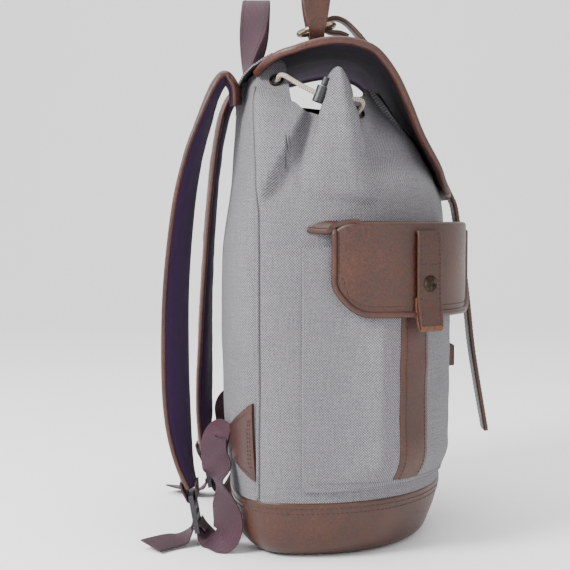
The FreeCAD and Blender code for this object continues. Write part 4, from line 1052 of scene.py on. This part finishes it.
US = [-1 + 2 * k / 84 for k in range(85)]
for sign, label in ((1, "left"), (-1, "right")):
    g = (lambda v: v) if sign > 0 else mirrored
    rows = []
    secs = [flap_section(u) for u in US]
    m = min(len(s) for s in secs)
    secs = [s[len(s) - m:] if len(s) > m else s for s in secs]
    for i in range(m):
        rows.append([s[i] for s in secs])
    # the inner face: 2.6 mm below or inside the outer line
    inn = []
    for i in range(m):
        r = []
        for j, u in enumerate(US):
            p = rows[i][j]
            a = FDIR + u * SPAN
            rad = Vector((math.cos(a), math.sin(a), 0.0))
            tan = (rows[min(i + 1, m - 1)][j] - rows[max(i - 1, 0)][j]).normalized()
            nrm = (rad * -tan.z + Vector((0, 0, 1)) * tan.dot(rad)).normalized()
            r.append(p - nrm * 2.5)
        inn.append(r)
    v, f, uv, tg = skin([[g(p) / 1000 for p in r] for r in rows], [[g(p) / 1000 for p in r] for r in inn],
                        lambda i, j: (US[j] * 0.083, -0.002 * i))
    # outer rows run from the top down, so the faces point inward until flipped
    ob = add_piece("flap_leather_" + label, v, flip(f) if sign > 0 else f, uv, ["leather", "raw"], None, ("flap_" + label, "flap_top_" + label),
                   [(0, 0, 1)[k] for k in tg], sharp=50)
    sx = 1.0 if sign > 0 else -1.0
    g(drum(0, 85.0, 268.0)) / 1000
    g(drum(0, 90.5, 263.5)) / 1000
    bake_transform(ob)
    # the bound edge: a rolled leather cord right round the drop
    side = flap_section(1.0)
    path = [side[k] - Vector((0, 0, 0.8)) for k in range(0, len(side) - 41)] + [drum(1.0, FR + 0.1, z) for z in (262.0, 255.0, 245.0, 235.0, 226.0, 221.0)]
    path += [drum(1.0 - 2 * k / 90, FR + 0.1 + flap_wave(1.0 - 2 * k / 90, 200), flap_low(1.0 - 2 * k / 90)) for k in range(1, 90)]
    side = flap_section(-1.0)
    path += [drum(-1.0, FR + 0.1, z) for z in (221.0, 226.0, 235.0, 245.0, 255.0, 262.0)] + [side[k] - Vector((0, 0, 0.8)) for k in range(len(side) - 42, -1, -1)]
    soft = [Vector(p) for p in catmull([list(p) for p in path], 2)]
    ob = tube("flap_edge_" + label, [g(p) for p in soft], 2.5, "edge", None, ("flap_binding_" + label,))
    g(drum(0, 85.0, 268.0)) / 1000
    g(drum(0, 90.5, 263.5)) / 1000
    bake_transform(ob)
    # a stitched line inside the bound edge
    pts, nn = [], []
    for k in range(141):
        u = 0.93 - 1.86 * k / 140
        z = flap_low(u) + 6.5 + 10.0 * max(0.0, (abs(u) - 0.86) / 0.07)
        pts.append(g(drum(u, FR + 0.15 + flap_wave(u, z), z)))
        nn.append((g(drum(u, FR + 1, z)) - g(drum(u, FR, z))).normalized())
    stitch_run(pts, nn, "pocket_flap_" + label, "thread", 3.6, 2.6, 0.6)
    for uu in (-0.955, 0.955):
        zs = [229 + 2.0 * k for k in range(17)]
        stitch_run([g(drum(uu, FR + 0.15, z)) for z in zs], [(g(drum(uu, FR + 1, z)) - g(drum(uu, FR, z))).normalized() for z in zs], "pocket_flap_" + label, "thread", 3.6, 2.6, 0.6)
    # the tab with its pull loop
    rows = [(262.0, 1.3, 23.0), (258.0, 2.6, 23.5), (250.0, 2.9, 24.0), (240.0, 3.0, 24.0), (232.0, 3.0, 24.0), (226.0, 3.0, 24.0), (221.0, 3.0, 24.0), (214.0, 3.1, 24.0),
            (205.0, 3.4, 24.0), (198.0, 4.6, 23.5), (191.0, 5.6, 23.0), (186.5, 6.0, 22.0)]
    ub = math.radians(-4.0) / SPAN
    trows = []
    for z, dr, w in rows:
        c = drum(ub, FR + dr, z)
        a = FDIR + ub * SPAN
        trows.append((c.x, c.y, c.z, -math.sin(a), math.cos(a), 0.0, w))
    if sign < 0:
        trows = [(-x, y, z, dx, -dy, dz, w) for x, y, z, dx, dy, dz, w in trows]
    sec = flat_section(2.6, 0.7, 3, 0.0)
    sweep("flap_tab_piece_" + label, trows, sec, 4, ["leather", "raw"], "pocket_flap_" + label, ("flap_tab_" + label,),
          side_mat=lambda j, ns: 1 if (j % 7) in (0, 1) and False else 0)
    a = FDIR + ub * SPAN
    tn = g(Vector((math.cos(a), math.sin(a), 0)))
    td = g(Vector((-math.sin(a), math.cos(a), 0)))
    fr = catmull([list(r) for r in rows], 5)
    for s2 in (-1, 1):
        pts = [g(drum(ub, FR + dr + 1.35, z)) + td * (s2 * (w / 2 - 2.4)) for z, dr, w in fr]
        stitch_run(pts, [tn] * len(pts), "pocket_flap_" + label, "thread", 3.4, 2.4, 0.6)
    pts = [g(drum(ub, FR + 4.35, 236.0)) + td * (x * 1.0) for x in range(-9, 10)]
    stitch_run(pts, [tn] * len(pts), "pocket_flap_" + label, "thread", 3.4, 2.4, 0.6)
    # the pull: a second layer folded back up behind the tab's foot
    back = []
    for z, dr, w in ((210.0, -0.2, 22.0), (202.0, 0.3, 23.0), (195.0, 1.6, 23.0), (189.0, 2.8, 22.5), (184.6, 4.4, 21.5), (184.8, 6.0, 21.5), (188.0, 7.3, 22.0)):
        c = drum(ub, FR + dr, z)
        back.append((c.x, c.y, c.z, -math.sin(a), math.cos(a), 0.0, w))
    if sign < 0:
        back = [(-x, y, z, dx, -dy, dz, w) for x, y, z, dx, dy, dz, w in back]
    sweep("flap_pull_" + label, back, flat_section(1.4, 0.5, 3), 4, ["raw", "raw"], "pocket_flap_" + label, ())

# --------------------------------------------------------------------- lid
LID = [(69, 391.5, 90), (60, 402, 108), (45, 413, 119), (25, 420, 122), (5, 423, 122), (-15, 421, 121), (-34, 412.5, 118), (-50, 393, 111), (-62, 369, 101),
       (-73, 343, 88), (-87, 318, 74), (-93, 304, 62), (-97.5, 296.5, 50)]
LROWS = catmull([list(map(float, r)) for r in LID], 8)


def lid_frame(i):
    y, z, w = LROWS[i]
    a, b = LROWS[max(i - 1, 0)], LROWS[min(i + 1, len(LROWS) - 1)]
    tan = Vector((0, b[0] - a[0], b[1] - a[1])).normalized()
    return Vector((0, y, z)), tan, Vector((0, tan.z, -tan.y)), w


def lid_pt(i, x, off=0.0, soft=True):
    c, tan, nrm, w = lid_frame(i)
    far = math.hypot(LROWS[i][0] - 69.0, LROWS[i][1] - 391.5)
    drop = -8.5 * (x / 122.0) ** 2 * min(1.0, far / 35.0)
    if soft:
        inner = 1 - min(1.0, abs(x) / w) ** 6
        drop += inner * (1.2 * wob(x, c.y, c.z, 45.0, 11.0) + 0.5 * wob(x, c.y, c.z, 18.0, 12.0))
        drop += 1.3 * math.exp(-(((abs(x) - w + 9.0) / 6.0) ** 2)) - 0.0
    return c + Vector((x, 0, 0)) + nrm * (drop + off)


NX = 48
li = list(range(0, len(LROWS)))
xs = [-1 + 2 * k / NX for k in range(NX + 1)]
outer = [[lid_pt(i, x * LROWS[i][2]) / 1000 for x in xs] for i in li]
inner = [[lid_pt(i, x * LROWS[i][2], -4.0) / 1000 for x in xs] for i in li]
lrun = [0.0]
for i in li[1:]:
    lrun.append(lrun[-1] + math.hypot(LROWS[i][0] - LROWS[i - 1][0], LROWS[i][1] - LROWS[i - 1][1]) / 1000)
v, f, uv, tg = skin(outer, inner, lambda i, j: (xs[j] * 0.12, lrun[i]))
add_piece("lid_canvas", v, f, uv, ["canvas", "lining", "edge"], "lid", ("lid_panel", "lid_lining"), tg, sharp=50)

for sign, label in ((-1, "left"), (1, "right")):
    rows = []
    for i in li[::2]:
        p = lid_pt(i, sign * (LROWS[i][2] - 0.9), -1.9, True)
        c, tan, nrm, w = lid_frame(i)
        rows.append((p.x, p.y, p.z, 1.0, 0.0, 0.0, 5.6))
    n = 16
    sec = [(math.cos(2 * PI * k / n), 0.0, 3.3 * math.sin(2 * PI * k / n)) for k in range(n)]
    sweep("lid_edge_" + label, rows, sec, 2, ["edge"], "lid", ("lid_binding_" + label,))
    pts = [lid_pt(i, sign * (LROWS[i][2] - 5.5), 0.1) for i in li[2:]]
    stitch_run(pts, [lid_frame(i)[2] for i in li[2:]], "lid", "thread", 3.8, 2.7, 0.6)

# the rounded leather end of the lid
c, tan, nrm, w = lid_frame(len(LROWS) - 1)
ro, ri = [], []
for i in range(13):
    g1 = i / 12.0
    half = 51.0 * math.sqrt(max(0.0, 1 - 0.86 * g1 ** 2.2))
    ro.append([(c + tan * (-7.0 + 14.6 * g1) + Vector((half * x, 0, 0)) + nrm * (1.1 - 8.5 * (half * x / 122.0) ** 2 - 1.2 * g1 ** 4)) / 1000 for x in xs])
    ri.append([(c + tan * (-7.0 + 14.6 * g1) + Vector((half * x, 0, 0)) + nrm * (-4.4 - 8.5 * (half * x / 122.0) ** 2 + 1.0 * g1 ** 4)) / 1000 for x in xs])
v, f, uv, tg = skin(ro, ri, lambda i, j: (xs[j] * 0.05, i * 0.0012))
add_piece("lid_end", v, f, uv, ["leather", "edge"], "lid", ("lid_tip",), [(0, 0, 1)[k] for k in tg], sharp=50)

# the cloth that joins the lid to the back of the bag
hrows = catmull([[83.8, 374.0, 80.0], [82.0, 381.0, 84.0], [78.0, 388.5, 88.0], [71.5, 395.0, 91.0], [63.5, 401.5, 99.0], [56.0, 407.0, 106.0]], 5)
ho, hi2 = [], []
for k, (y, z, w) in enumerate(hrows):
    a, b = hrows[max(k - 1, 0)], hrows[min(k + 1, len(hrows) - 1)]
    tn = Vector((0, b[0] - a[0], b[1] - a[1])).normalized()
    nm = Vector((0, tn.z, -tn.y))
    d = 8.5 * min(1.0, max(0.0, math.hypot(y - 69, z - 391.5) / 35.0 if y < 69 else 0.0))
    ho.append([(Vector((x * w, y, z)) + nm * (1.6 - d * (x * w / 122.0) ** 2)) / 1000 for x in xs])
    hi2.append([(Vector((x * w, y, z)) + nm * (0.2 - d * (x * w / 122.0) ** 2)) / 1000 for x in xs])
v, f, uv, tg = skin(ho, hi2, lambda i, j: (xs[j] * 0.12, i * 0.002))
# the hinge cloth's underside takes the darker canvas copy, which is painted shade
ob = add_piece("lid_hinge_cloth", v, f, uv, ["canvas", "shaded_canvas_in"], None, (), [(0, 1, 0)[k] for k in tg], sharp=50)
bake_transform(ob)

# a leather strip across the back, where the handle and straps are sewn on
rows = [(0, 85.6, 360.0, 1, 0, 0, 98.0), (0, 84.9, 368.0, 1, 0, 0, 98.0), (0, 83.4, 376.5, 1, 0, 0, 98.0), (0, 82.2, 383.0, 1, 0, 0, 98.0)]
sweep("back_strip", rows, flat_section(2.2, 0.8), 6, ["leather", "raw"], "bag", ("hinge_strip",))

# the closing strap over the lid
SROWS = [(-12, 434, 13), (-4.5, 437, 13), (4, 437.8, 13), (8.6, 440.5, 13), (9.2, 445, 13), (5, 449, 13), (-2, 449.8, 14), (-10, 446, 17), (-19, 437, 22), (-28, 426, 25)]
rows = [(0.0, y, z, 1.0, 0.0, 0.0, w) for y, z, w in SROWS]
for i in range(0, len(LROWS), 4):
    if LROWS[i][0] < -34.5 and i < len(LROWS) - 2:
        c, tan, nrm, w = lid_frame(i)
        p = c + nrm * 3.2
        rows.append((0.0, p.y, p.z, 1.0, 0.0, 0.0, 25.0))
c, tan, nrm, w = lid_frame(len(LROWS) - 1)
p = c + nrm * 3.0
rows.append((0.0, p.y, p.z, 1.0, 0.0, 0.0, 25.0))
strap_sec = flat_section(3.6, 1.0, 3, 0.0)
edge_of = lambda j, ns: 0
kf = []
sweep("lid_strap_leather", rows, strap_sec, 5, ["leather", "raw"], "lid", ("lid_strap",), keep_frames=kf)
for s2 in (-1, 1):
    pts = [c + sd * (s2 * (w / 2 - 2.6)) - nr * 1.85 * (1 if nr.dot(Vector((0, -0.4, 1))) < 0 else -1) for c, tn, sd, nr, w in kf if c.y < -20]
    nn = [nr * (-1 if nr.dot(Vector((0, -0.4, 1))) < 0 else 1) for c, tn, sd, nr, w in kf if c.y < -20]
    stitch_run(pts, nn, "lid", "thread", 3.8, 2.7, 0.65)
TROWS = [(-101.41, 296.9), (-104.6, 289.5), (-107.5, 281), (-110.5, 262), (-115.5, 228), (-119.5, 194), (-123.5, 158), (-130, 118), (-136.5, 82)]
rows = [(0.0, y, z, 1.0, 0.0, 0.0, 25.0) for y, z in TROWS]
rows[0] = (0.0, p.y, p.z + 0.2, 1.0, 0.0, 0.0, 25.0)
rows[-1] = rows[-1][:6] + (21.0,)
kf = []
ob = sweep("strap_tail_leather", rows, strap_sec, 8, ["leather", "raw"], None, ("strap_tail",), keep_frames=kf)
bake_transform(ob)
for s2 in (-1, 1):
    for face in (1, -1):
        pts = [c + sd * (s2 * (w / 2 - 2.6)) + nr * 1.85 * face for c, tn, sd, nr, w in kf[8:]]
        stitch_run(pts, [nr * face for c, tn, sd, nr, w in kf[8:]], "strap_end", "thread", 3.8, 2.7, 0.65)

# ------------------------------------------------ carry loop and grab handle
half = [(-9.6, 10, 15), (-9.6, 2, 12), (-11.4, -6, 12), (-17, -9.2, 13), (-22.4, -4, 14), (-23.2, 6, 19), (-22, 26, 25), (-20.5, 52, 25), (-15, 74, 25), (0, 85, 25)]
full = half + [(-x, z, w) for x, z, w in half[-2::-1]]
rows = [(x, 16.5 + 0.02 * z, 440.2 + z, 0.0, 1.0, 0.2, w) for x, z, w in full]
kf = []
sweep("carry_loop_leather", rows, flat_section(3.0, 0.8), 7, ["leather", "edge"], "carry_ring", ("carry_loop",), keep_frames=kf)
for s2 in (-1, 1):
    for face in (1, -1):
        sel = [q for q in kf if q[0].z > 452]
        stitch_run([c + sd * (s2 * (w / 2 - 2.2)) + nr * 1.55 * face for c, tn, sd, nr, w in sel], [nr * face for c, tn, sd, nr, w in sel], "carry_ring", "thread", 3.4, 2.4, 0.55)

hh = [(-37, 77.6, 386.6, 1, 0), (-38, 77.4, 398, .95, .25), (-39, 75, 416, .75, .65), (-37.5, 72, 434, .3, .95), (-31, 70.5, 450, 0, 1), (-17, 69.8, 461, 0, 1), (0, 69.5, 464, 0, 1)]
rows = [(x, y, z, dx, dy, 0.0, 24.0) for x, y, z, dx, dy in hh] + [(-x, y, z, -dx, dy, 0.0, 24.0) for x, y, z, dx, dy in hh[-2::-1]]
kf = []
ob = sweep("grab_handle_webbing", rows, flat_section(2.4, 0.8), 10, ["webbing"], None, ("grab_handle",), keep_frames=kf)
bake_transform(ob)
for s2 in (-1, 1):
    for face in (1, -1):
        sel = kf[12:-12]
        stitch_run([c + sd * (s2 * (w / 2 - 2.4)) + nr * 1.25 * face for c, tn, sd, nr, w in sel], [nr * face for c, tn, sd, nr, w in sel], "handle", "thread", 3.4, 2.4, 0.55)

# ---------------------------------------------------------- shoulder straps
LEFT = [(-72, 85.6, 366, 0, 37), (-73, 86.8, 380, 0, 39), (-74, 94.2, 388.6, 0, 42), (-75, 103, 377, 0, 45), (-76, 112, 352, -.1, 45), (-77.5, 121, 322, -.2, 45),
        (-79, 129, 280, -.28, 45), (-81, 135, 215, -.34, 45), (-82, 136, 150, -.4, 43), (-82, 134, 105, -.42, 39), (-83, 129.5, 72, -.28, 35), (-84.5, 123.5, 48, -.02, 31)]
RIGHT = [(72, 85.6, 366, 0, 37), (73, 86.8, 380, 0, 39), (74, 94.2, 387, 0, 42), (75, 102, 372, 0, 45), (76, 108, 345, 0, 45), (77.5, 112.5, 312, 0, 45),
         (79, 117, 262, -.02, 45), (81, 120.5, 200, -.08, 45), (82, 122, 150, -.16, 43), (82, 123, 108, -.25, 39), (83, 123, 76, -.24, 35), (84.5, 123.6, 50, -.02, 31)]


def pad_wrinkle(seed):
    def w(run, a, h):
        k = (1 - abs(a) ** 4) * step(0.0, 20.0, run)
        return k * (0.55 * wob(run, a * 22.0, 3.0 if h > 0 else -3.0, 20.0, seed) + 0.35 * wob(run * 1.4, a * 22.0, h, 9.0, seed + 2)) * (1 if h > 0 else -1)
    return w


for label, table, seed in (("left", LEFT, 21.0), ("right", RIGHT, 31.0)):
    rows = [(x, y, z, 1.0, dy, 0.0, w) for x, y, z, dy, w in table]
    sec = pad_section(10.2, 3.2)
    ns = len(sec)
    kf = []
    ob = sweep("shoulder_pad_" + label, rows, sec, 14, ["strap", "lining"], "bag", ("shoulder_strap_" + label,),
               side_mat=lambda j, n: 1 if j < n // 2 - 1 else 0, wrinkle=pad_wrinkle(seed), keep_frames=kf)
    for s2 in (-1, 1):
        pts = [c + sd * (s2 * (w / 2 - 0.2)) for c, tn, sd, nr, w in kf]
        tube("shoulder_edge_%s_%s" % (label, "in" if s2 * (1 if label == "left" else -1) > 0 else "out"), pts, 2.1, "edge", "bag", ())
        for face in (-1, 1):
            for inset in (5.0,):
                pts = [c + sd * (s2 * (w / 2 - inset)) + nr * (2.55 * face) for c, tn, sd, nr, w in kf[6:]]
                stitch_run(pts, [nr * face for c, tn, sd, nr, w in kf[6:]], "bag", "thread", 3.8, 2.7, 0.7, 0.5)

# ------------------------------------- anchors, webbing and ladder-lock loops
ANCHOR_T = find_seam(95.0) - 0.043
ANCHOR_END = ANCHOR_T - 0.43


def reach(z):
    return table_lin([(63.5, 0.03), (78.0, 1.0), (105.0, 1.0), (125.5, 0.03)], z)


def table_lin(rows, v):
    if v <= rows[0][0]:
        return rows[0][1]
    for a, b in zip(rows, rows[1:]):
        if v <= b[0]:
            return lerp(a[1], b[1], (v - a[0]) / (b[0] - a[0]))
    return rows[-1][1]


def lock_point(sx, along, out):
    a = math.radians(80.0)
    return Vector((sx * 86.0, 121.5 + along * math.cos(a) - out * math.sin(a), 27.5 + along * math.sin(a) + out * math.cos(a)))


for sx, label in ((-1, "left"), (1, "right")):
    g = (lambda v: v) if sx < 0 else mirrored
    zs = [63.5 + 62.0 * k / 40 for k in range(41)]
    fr_ = [k / 20 for k in range(21)]
    def apt(z, f1, off):
        t = ANCHOR_T - 0.43 * reach(z) * f1
        return outline(t, z, off + folds(t, z) + 0.35)
    ro = [[g(apt(z, q, 2.7)) / 1000 for q in fr_] for z in zs]
    ri = [[g(apt(z, q, -0.3)) / 1000 for q in fr_] for z in zs]
    v, f, uv, tg = skin(ro, ri, lambda i, j: (fr_[j] * 0.04, zs[i] / 1000))
    add_piece("anchor_patch_" + label, v, flip(f) if sx < 0 else f, uv, ["dark", "edge"], "bag", ("strap_anchor_" + label,),
              [(0, 0, 1)[k] for k in tg], sharp=50)
    for ins in (0.10, 0.19):
        pts = [apt(z, ins, 2.75) for z in zs[6:-6]]
        nn = [g((apt(z, ins, 3.75) - apt(z, ins, 2.75)).normalized()) for z in zs[6:-6]]
        stitch_run([g(p) for p in pts], nn, "bag", "thread", 3.4, 2.5, 0.6)
    for e in (0, 1):
        line = []
        for k in range(31):
            q = 0.15 + 0.83 * k / 30
            # a line inside the slanted edge
            zz = lerp(66.5, 80.5, q) if e == 0 else lerp(121.0, 102.0, q)
            line.append(apt(zz, min(0.93, q / max(0.05, reach(zz))), 2.75))
        nn = [Vector((p.x, p.y - 30.0, 0)).normalized() for p in line]
        stitch_run([g(p) for p in line], [g(q) for q in nn], "bag", "thread", 3.4, 2.5, 0.6)

    s0 = outline(ANCHOR_END - 0.06, 92.0, 2.8)
    wr = [(s0.x, s0.y, s0.z, 0, .07, 1, 25.0), (s0.x + 6, s0.y + 6.5, 95.0, .25, .3, 1, 25.0), (s0.x + 8, s0.y + 12.0, 92, .7, .4, .7, 25.0),
          (-106.5, 102.5, 80, .6, .8, .2, 25.0), (-110, 100, 70, .3, 1, 0, 25.0), (-112, 98, 57, 1, .3, 0, 25.0), (-116, 94.5, 42, .7, .8, 0, 25.0),
          (-119, 90.5, 27, .3, 1, .1, 25.0), (-117.5, 92.5, 15, .4, .9, .5, 25.0), (-111, 99, 10.5, .75, .1, .7, 25.0), (-97.5, 104, 9.0, 1, 0, .3, 25.0), (-87.5, 107.5, 11.0, 1, 0, .04, 25.0)]
    for al, ou in ((-13.5, 7.6), (-8.2, 5.6)):
        q = lock_point(-1, al, ou)
        wr.append((q.x, q.y, q.z, 1, 0, 0, 25.0))
    tl = []
    for al, ou in ((-9.6, -1.6), (-14.0, -3.4)):
        q = lock_point(-1, al, ou)
        tl.append((q.x, q.y, q.z, 1, 0, 0, 25.0))
    tl += [(-91, 131, 6.0, .95, .2, .15, 25.0), (-100, 143, 5.0, .8, .6, .2, 25.0), (-112, 154, 5.0, .75, .65, .2, 25.0)]
    lp = []
    for al, ou in ((27, -4.9), (20, -4.2), (14.5, -2.6), (10.8, -1.4), (9.6, 2), (10.8, 5.4), (15, 6.4), (20, 7.0), (25, 7.6)):
        q = lock_point(-1, al, ou)
        lp.append((q.x, q.y, q.z, 1, 0, 0, 25.0))
    if sx > 0:
        m = lambda r: (-r[0], r[1], r[2], -r[3], r[4], r[5], r[6])
        wr, tl, lp = [m(r) for r in wr], [m(r) for r in tl], [m(r) for r in lp]
    wsec = flat_section(1.6, 0.5, 3)
    sweep("webbing_strap_" + label, wr, wsec, 12, ["webbing"], "bag", ("webbing_" + label,), floor=0.5)
    sweep("webbing_end_" + label, tl, wsec, 12, ["webbing"], "bag", ("webbing_tail_" + label,), floor=0.5)
    sweep("lock_loop_" + label, lp, wsec, 8, ["webbing"], "bag", ("strap_end_loop_" + label,))

# ---------------------------------------------------------- front keeper
kp = [(-19, -96.6), (-15.5, -97.4), (-13.2, -99.4), (-12.4, -103.0), (-10.4, -106.0), (-5, -106.7), (0, -106.8)]
kp = kp + [(-x, y) for x, y in kp[-2::-1]]
rows = [(x, y, 150.0, 0, 0, 1, 18.0) for x, y in kp]
sweep("keeper_band", rows, flat_section(1.8, 0.6), 6, ["leather", "raw"], "bag", ("front_keeper",))

# ---------------------------------------------------------------- drawcord
ROUTE = [(-80, 47.2, 373.6), (-105.1, 54.5, 393.8), (-117, 28, 375), (-117, 4, 366), (-114, -23.4, 367.9), (-90.4, -5.6, 347.3), (-62, -24, 349), (-20, -33, 352),
         (26, -32, 354), (66, -19, 356), (87, 10, 358), (87, 44, 361), (62, 64, 364), (18, 69.5, 366), (-28, 69, 367), (-66, 62, 368)]
cu = bpy.data.curves.new("route", "CURVE")
cu.dimensions = "3D"
cu.resolution_u = 16
sp = cu.splines.new("NURBS")
sp.points.add(len(ROUTE) - 1)
for q, r in zip(sp.points, ROUTE):
    q.co = (r[0] / 1000, r[1] / 1000, r[2] / 1000, 1.0)
sp.order_u = 3
sp.use_endpoint_u = True
ro = bpy.data.objects.new("route", cu)
bpy.context.scene.collection.objects.link(ro)
bpy.context.view_layer.update()
me = bpy.data.meshes.new_from_object(ro)
line = [Vector(v.co) * 1000.0 for v in me.vertices]
bpy.data.meshes.remove(me)
bpy.data.objects.remove(ro)
bpy.data.curves.remove(cu)
tube("drawcord_braid", line, 2.0, "cord", "bag", ("drawcord",), sides=14)

flush_stitches()

# ------------------------------------------------- materials for CAD pieces
LOOK = {"lid_ring": "brass", "snap_cap": "bronze", "snap_socket": "bronze", "snap_stud": "bronze", "eyelets": "bronze", "ladder_lock": "plastic",
        "cord_lock_body": "plastic", "cord_lock_plunger": "plastic", "cord_lock_spring": "steel", "base_board": "board"}
for o in list(bpy.data.objects):
    if o.type != "MESH" or o in PIECES:
        continue
    for k, mname in LOOK.items():
        if o.name.startswith(k):
            o.data.materials.clear()
            o.data.materials.append(M[mname])

# ------------------------------------------------------------------- stage
def plain(name, colour, rough):
    m, nt, bsdf = material(name)
    tex = noise_tex(nt, uv_scaled(nt, 1.0, 1.0, 1.0, "Object"), 3.0, 2.0)
    lo = tuple(c * 0.992 for c in colour[:3]) + (1.0,)
    nt.links.new(ramp(nt, tex, [(0.3, lo), (0.7, colour)]), bsdf.inputs["Base Color"])
    bsdf.inputs["Roughness"].default_value = rough
    bsdf.inputs["Specular IOR Level"].default_value = 0.1
    return m


prof = [(-4.0, 0.0), (-2.0, 0.0), (-1.0, 0.0), (0.0, 0.0), (1.0, 0.0), (2.0, 0.0)]
for k in range(1, 13):
    a = PI / 2 * k / 12
    prof.append((2.0 + 1.2 * math.sin(a), 1.2 - 1.2 * math.cos(a)))
prof.append((3.2, 5.0))
verts = []
for x, z in prof:
    verts += [(x, -5.0, z), (x, 5.0, z)]
faces = [(2 * k, 2 * k + 2, 2 * k + 3, 2 * k + 1) for k in range(len(prof) - 1)]
me = bpy.data.meshes.new("floor")
me.from_pydata(verts, [], faces)
me.materials.append(plain("pale_floor", (0.93, 0.93, 0.935, 1.0), 0.8))
for p in me.polygons:
    p.use_smooth = True
floor = bpy.data.objects.new("floor", me)
bpy.context.scene.collection.objects.link(floor)


def area(name, loc, look, size, watts, colour=(1, 1, 1)):
    d = bpy.data.lights.new(name, "AREA")
    d.shape = "RECTANGLE"
    d.size, d.size_y = size
    d.energy = watts
    d.color = colour
    o = bpy.data.objects.new(name, d)
    o.location = loc
    o.rotation_euler = (Vector(look) - Vector(loc)).to_track_quat("-Z", "Y").to_euler()
    bpy.context.scene.collection.objects.link(o)
    return o


area("key", (-0.9, 1.2, 1.2), (0, 0, 0.25), (0.6, 0.6), 50)
area("fill", (-1.8, -1.0, 0.7), (0, 0, 0.2), (1.6, 1.2), 8)
area("top", (0.2, 0.1, 2.4), (0, 0, 0), (2.0, 2.0), 34)

world = bpy.data.worlds.new("studio")
bpy.context.scene.world = world
world.use_nodes = True
bg = world.node_tree.nodes.get("Background") or world.node_tree.nodes.new("ShaderNodeBackground")
bg.inputs[0].default_value = (1.0, 1.0, 1.0, 1.0)
bg.inputs[1].default_value = 1.25

cam_data = bpy.data.cameras.new("camera")
cam_data.lens = 75.8
cam_data.sensor_width = 36.0
cam = bpy.data.objects.new("camera", cam_data)
cam.location = (-1.08, 0.0444, 0.269)
look = Vector((math.cos(math.radians(3.0)), 0.0, -math.sin(math.radians(3.0))))
cam.rotation_euler = look.to_track_quat("-Z", "Y").to_euler()
bpy.context.scene.collection.objects.link(cam)
bpy.context.scene.camera = cam
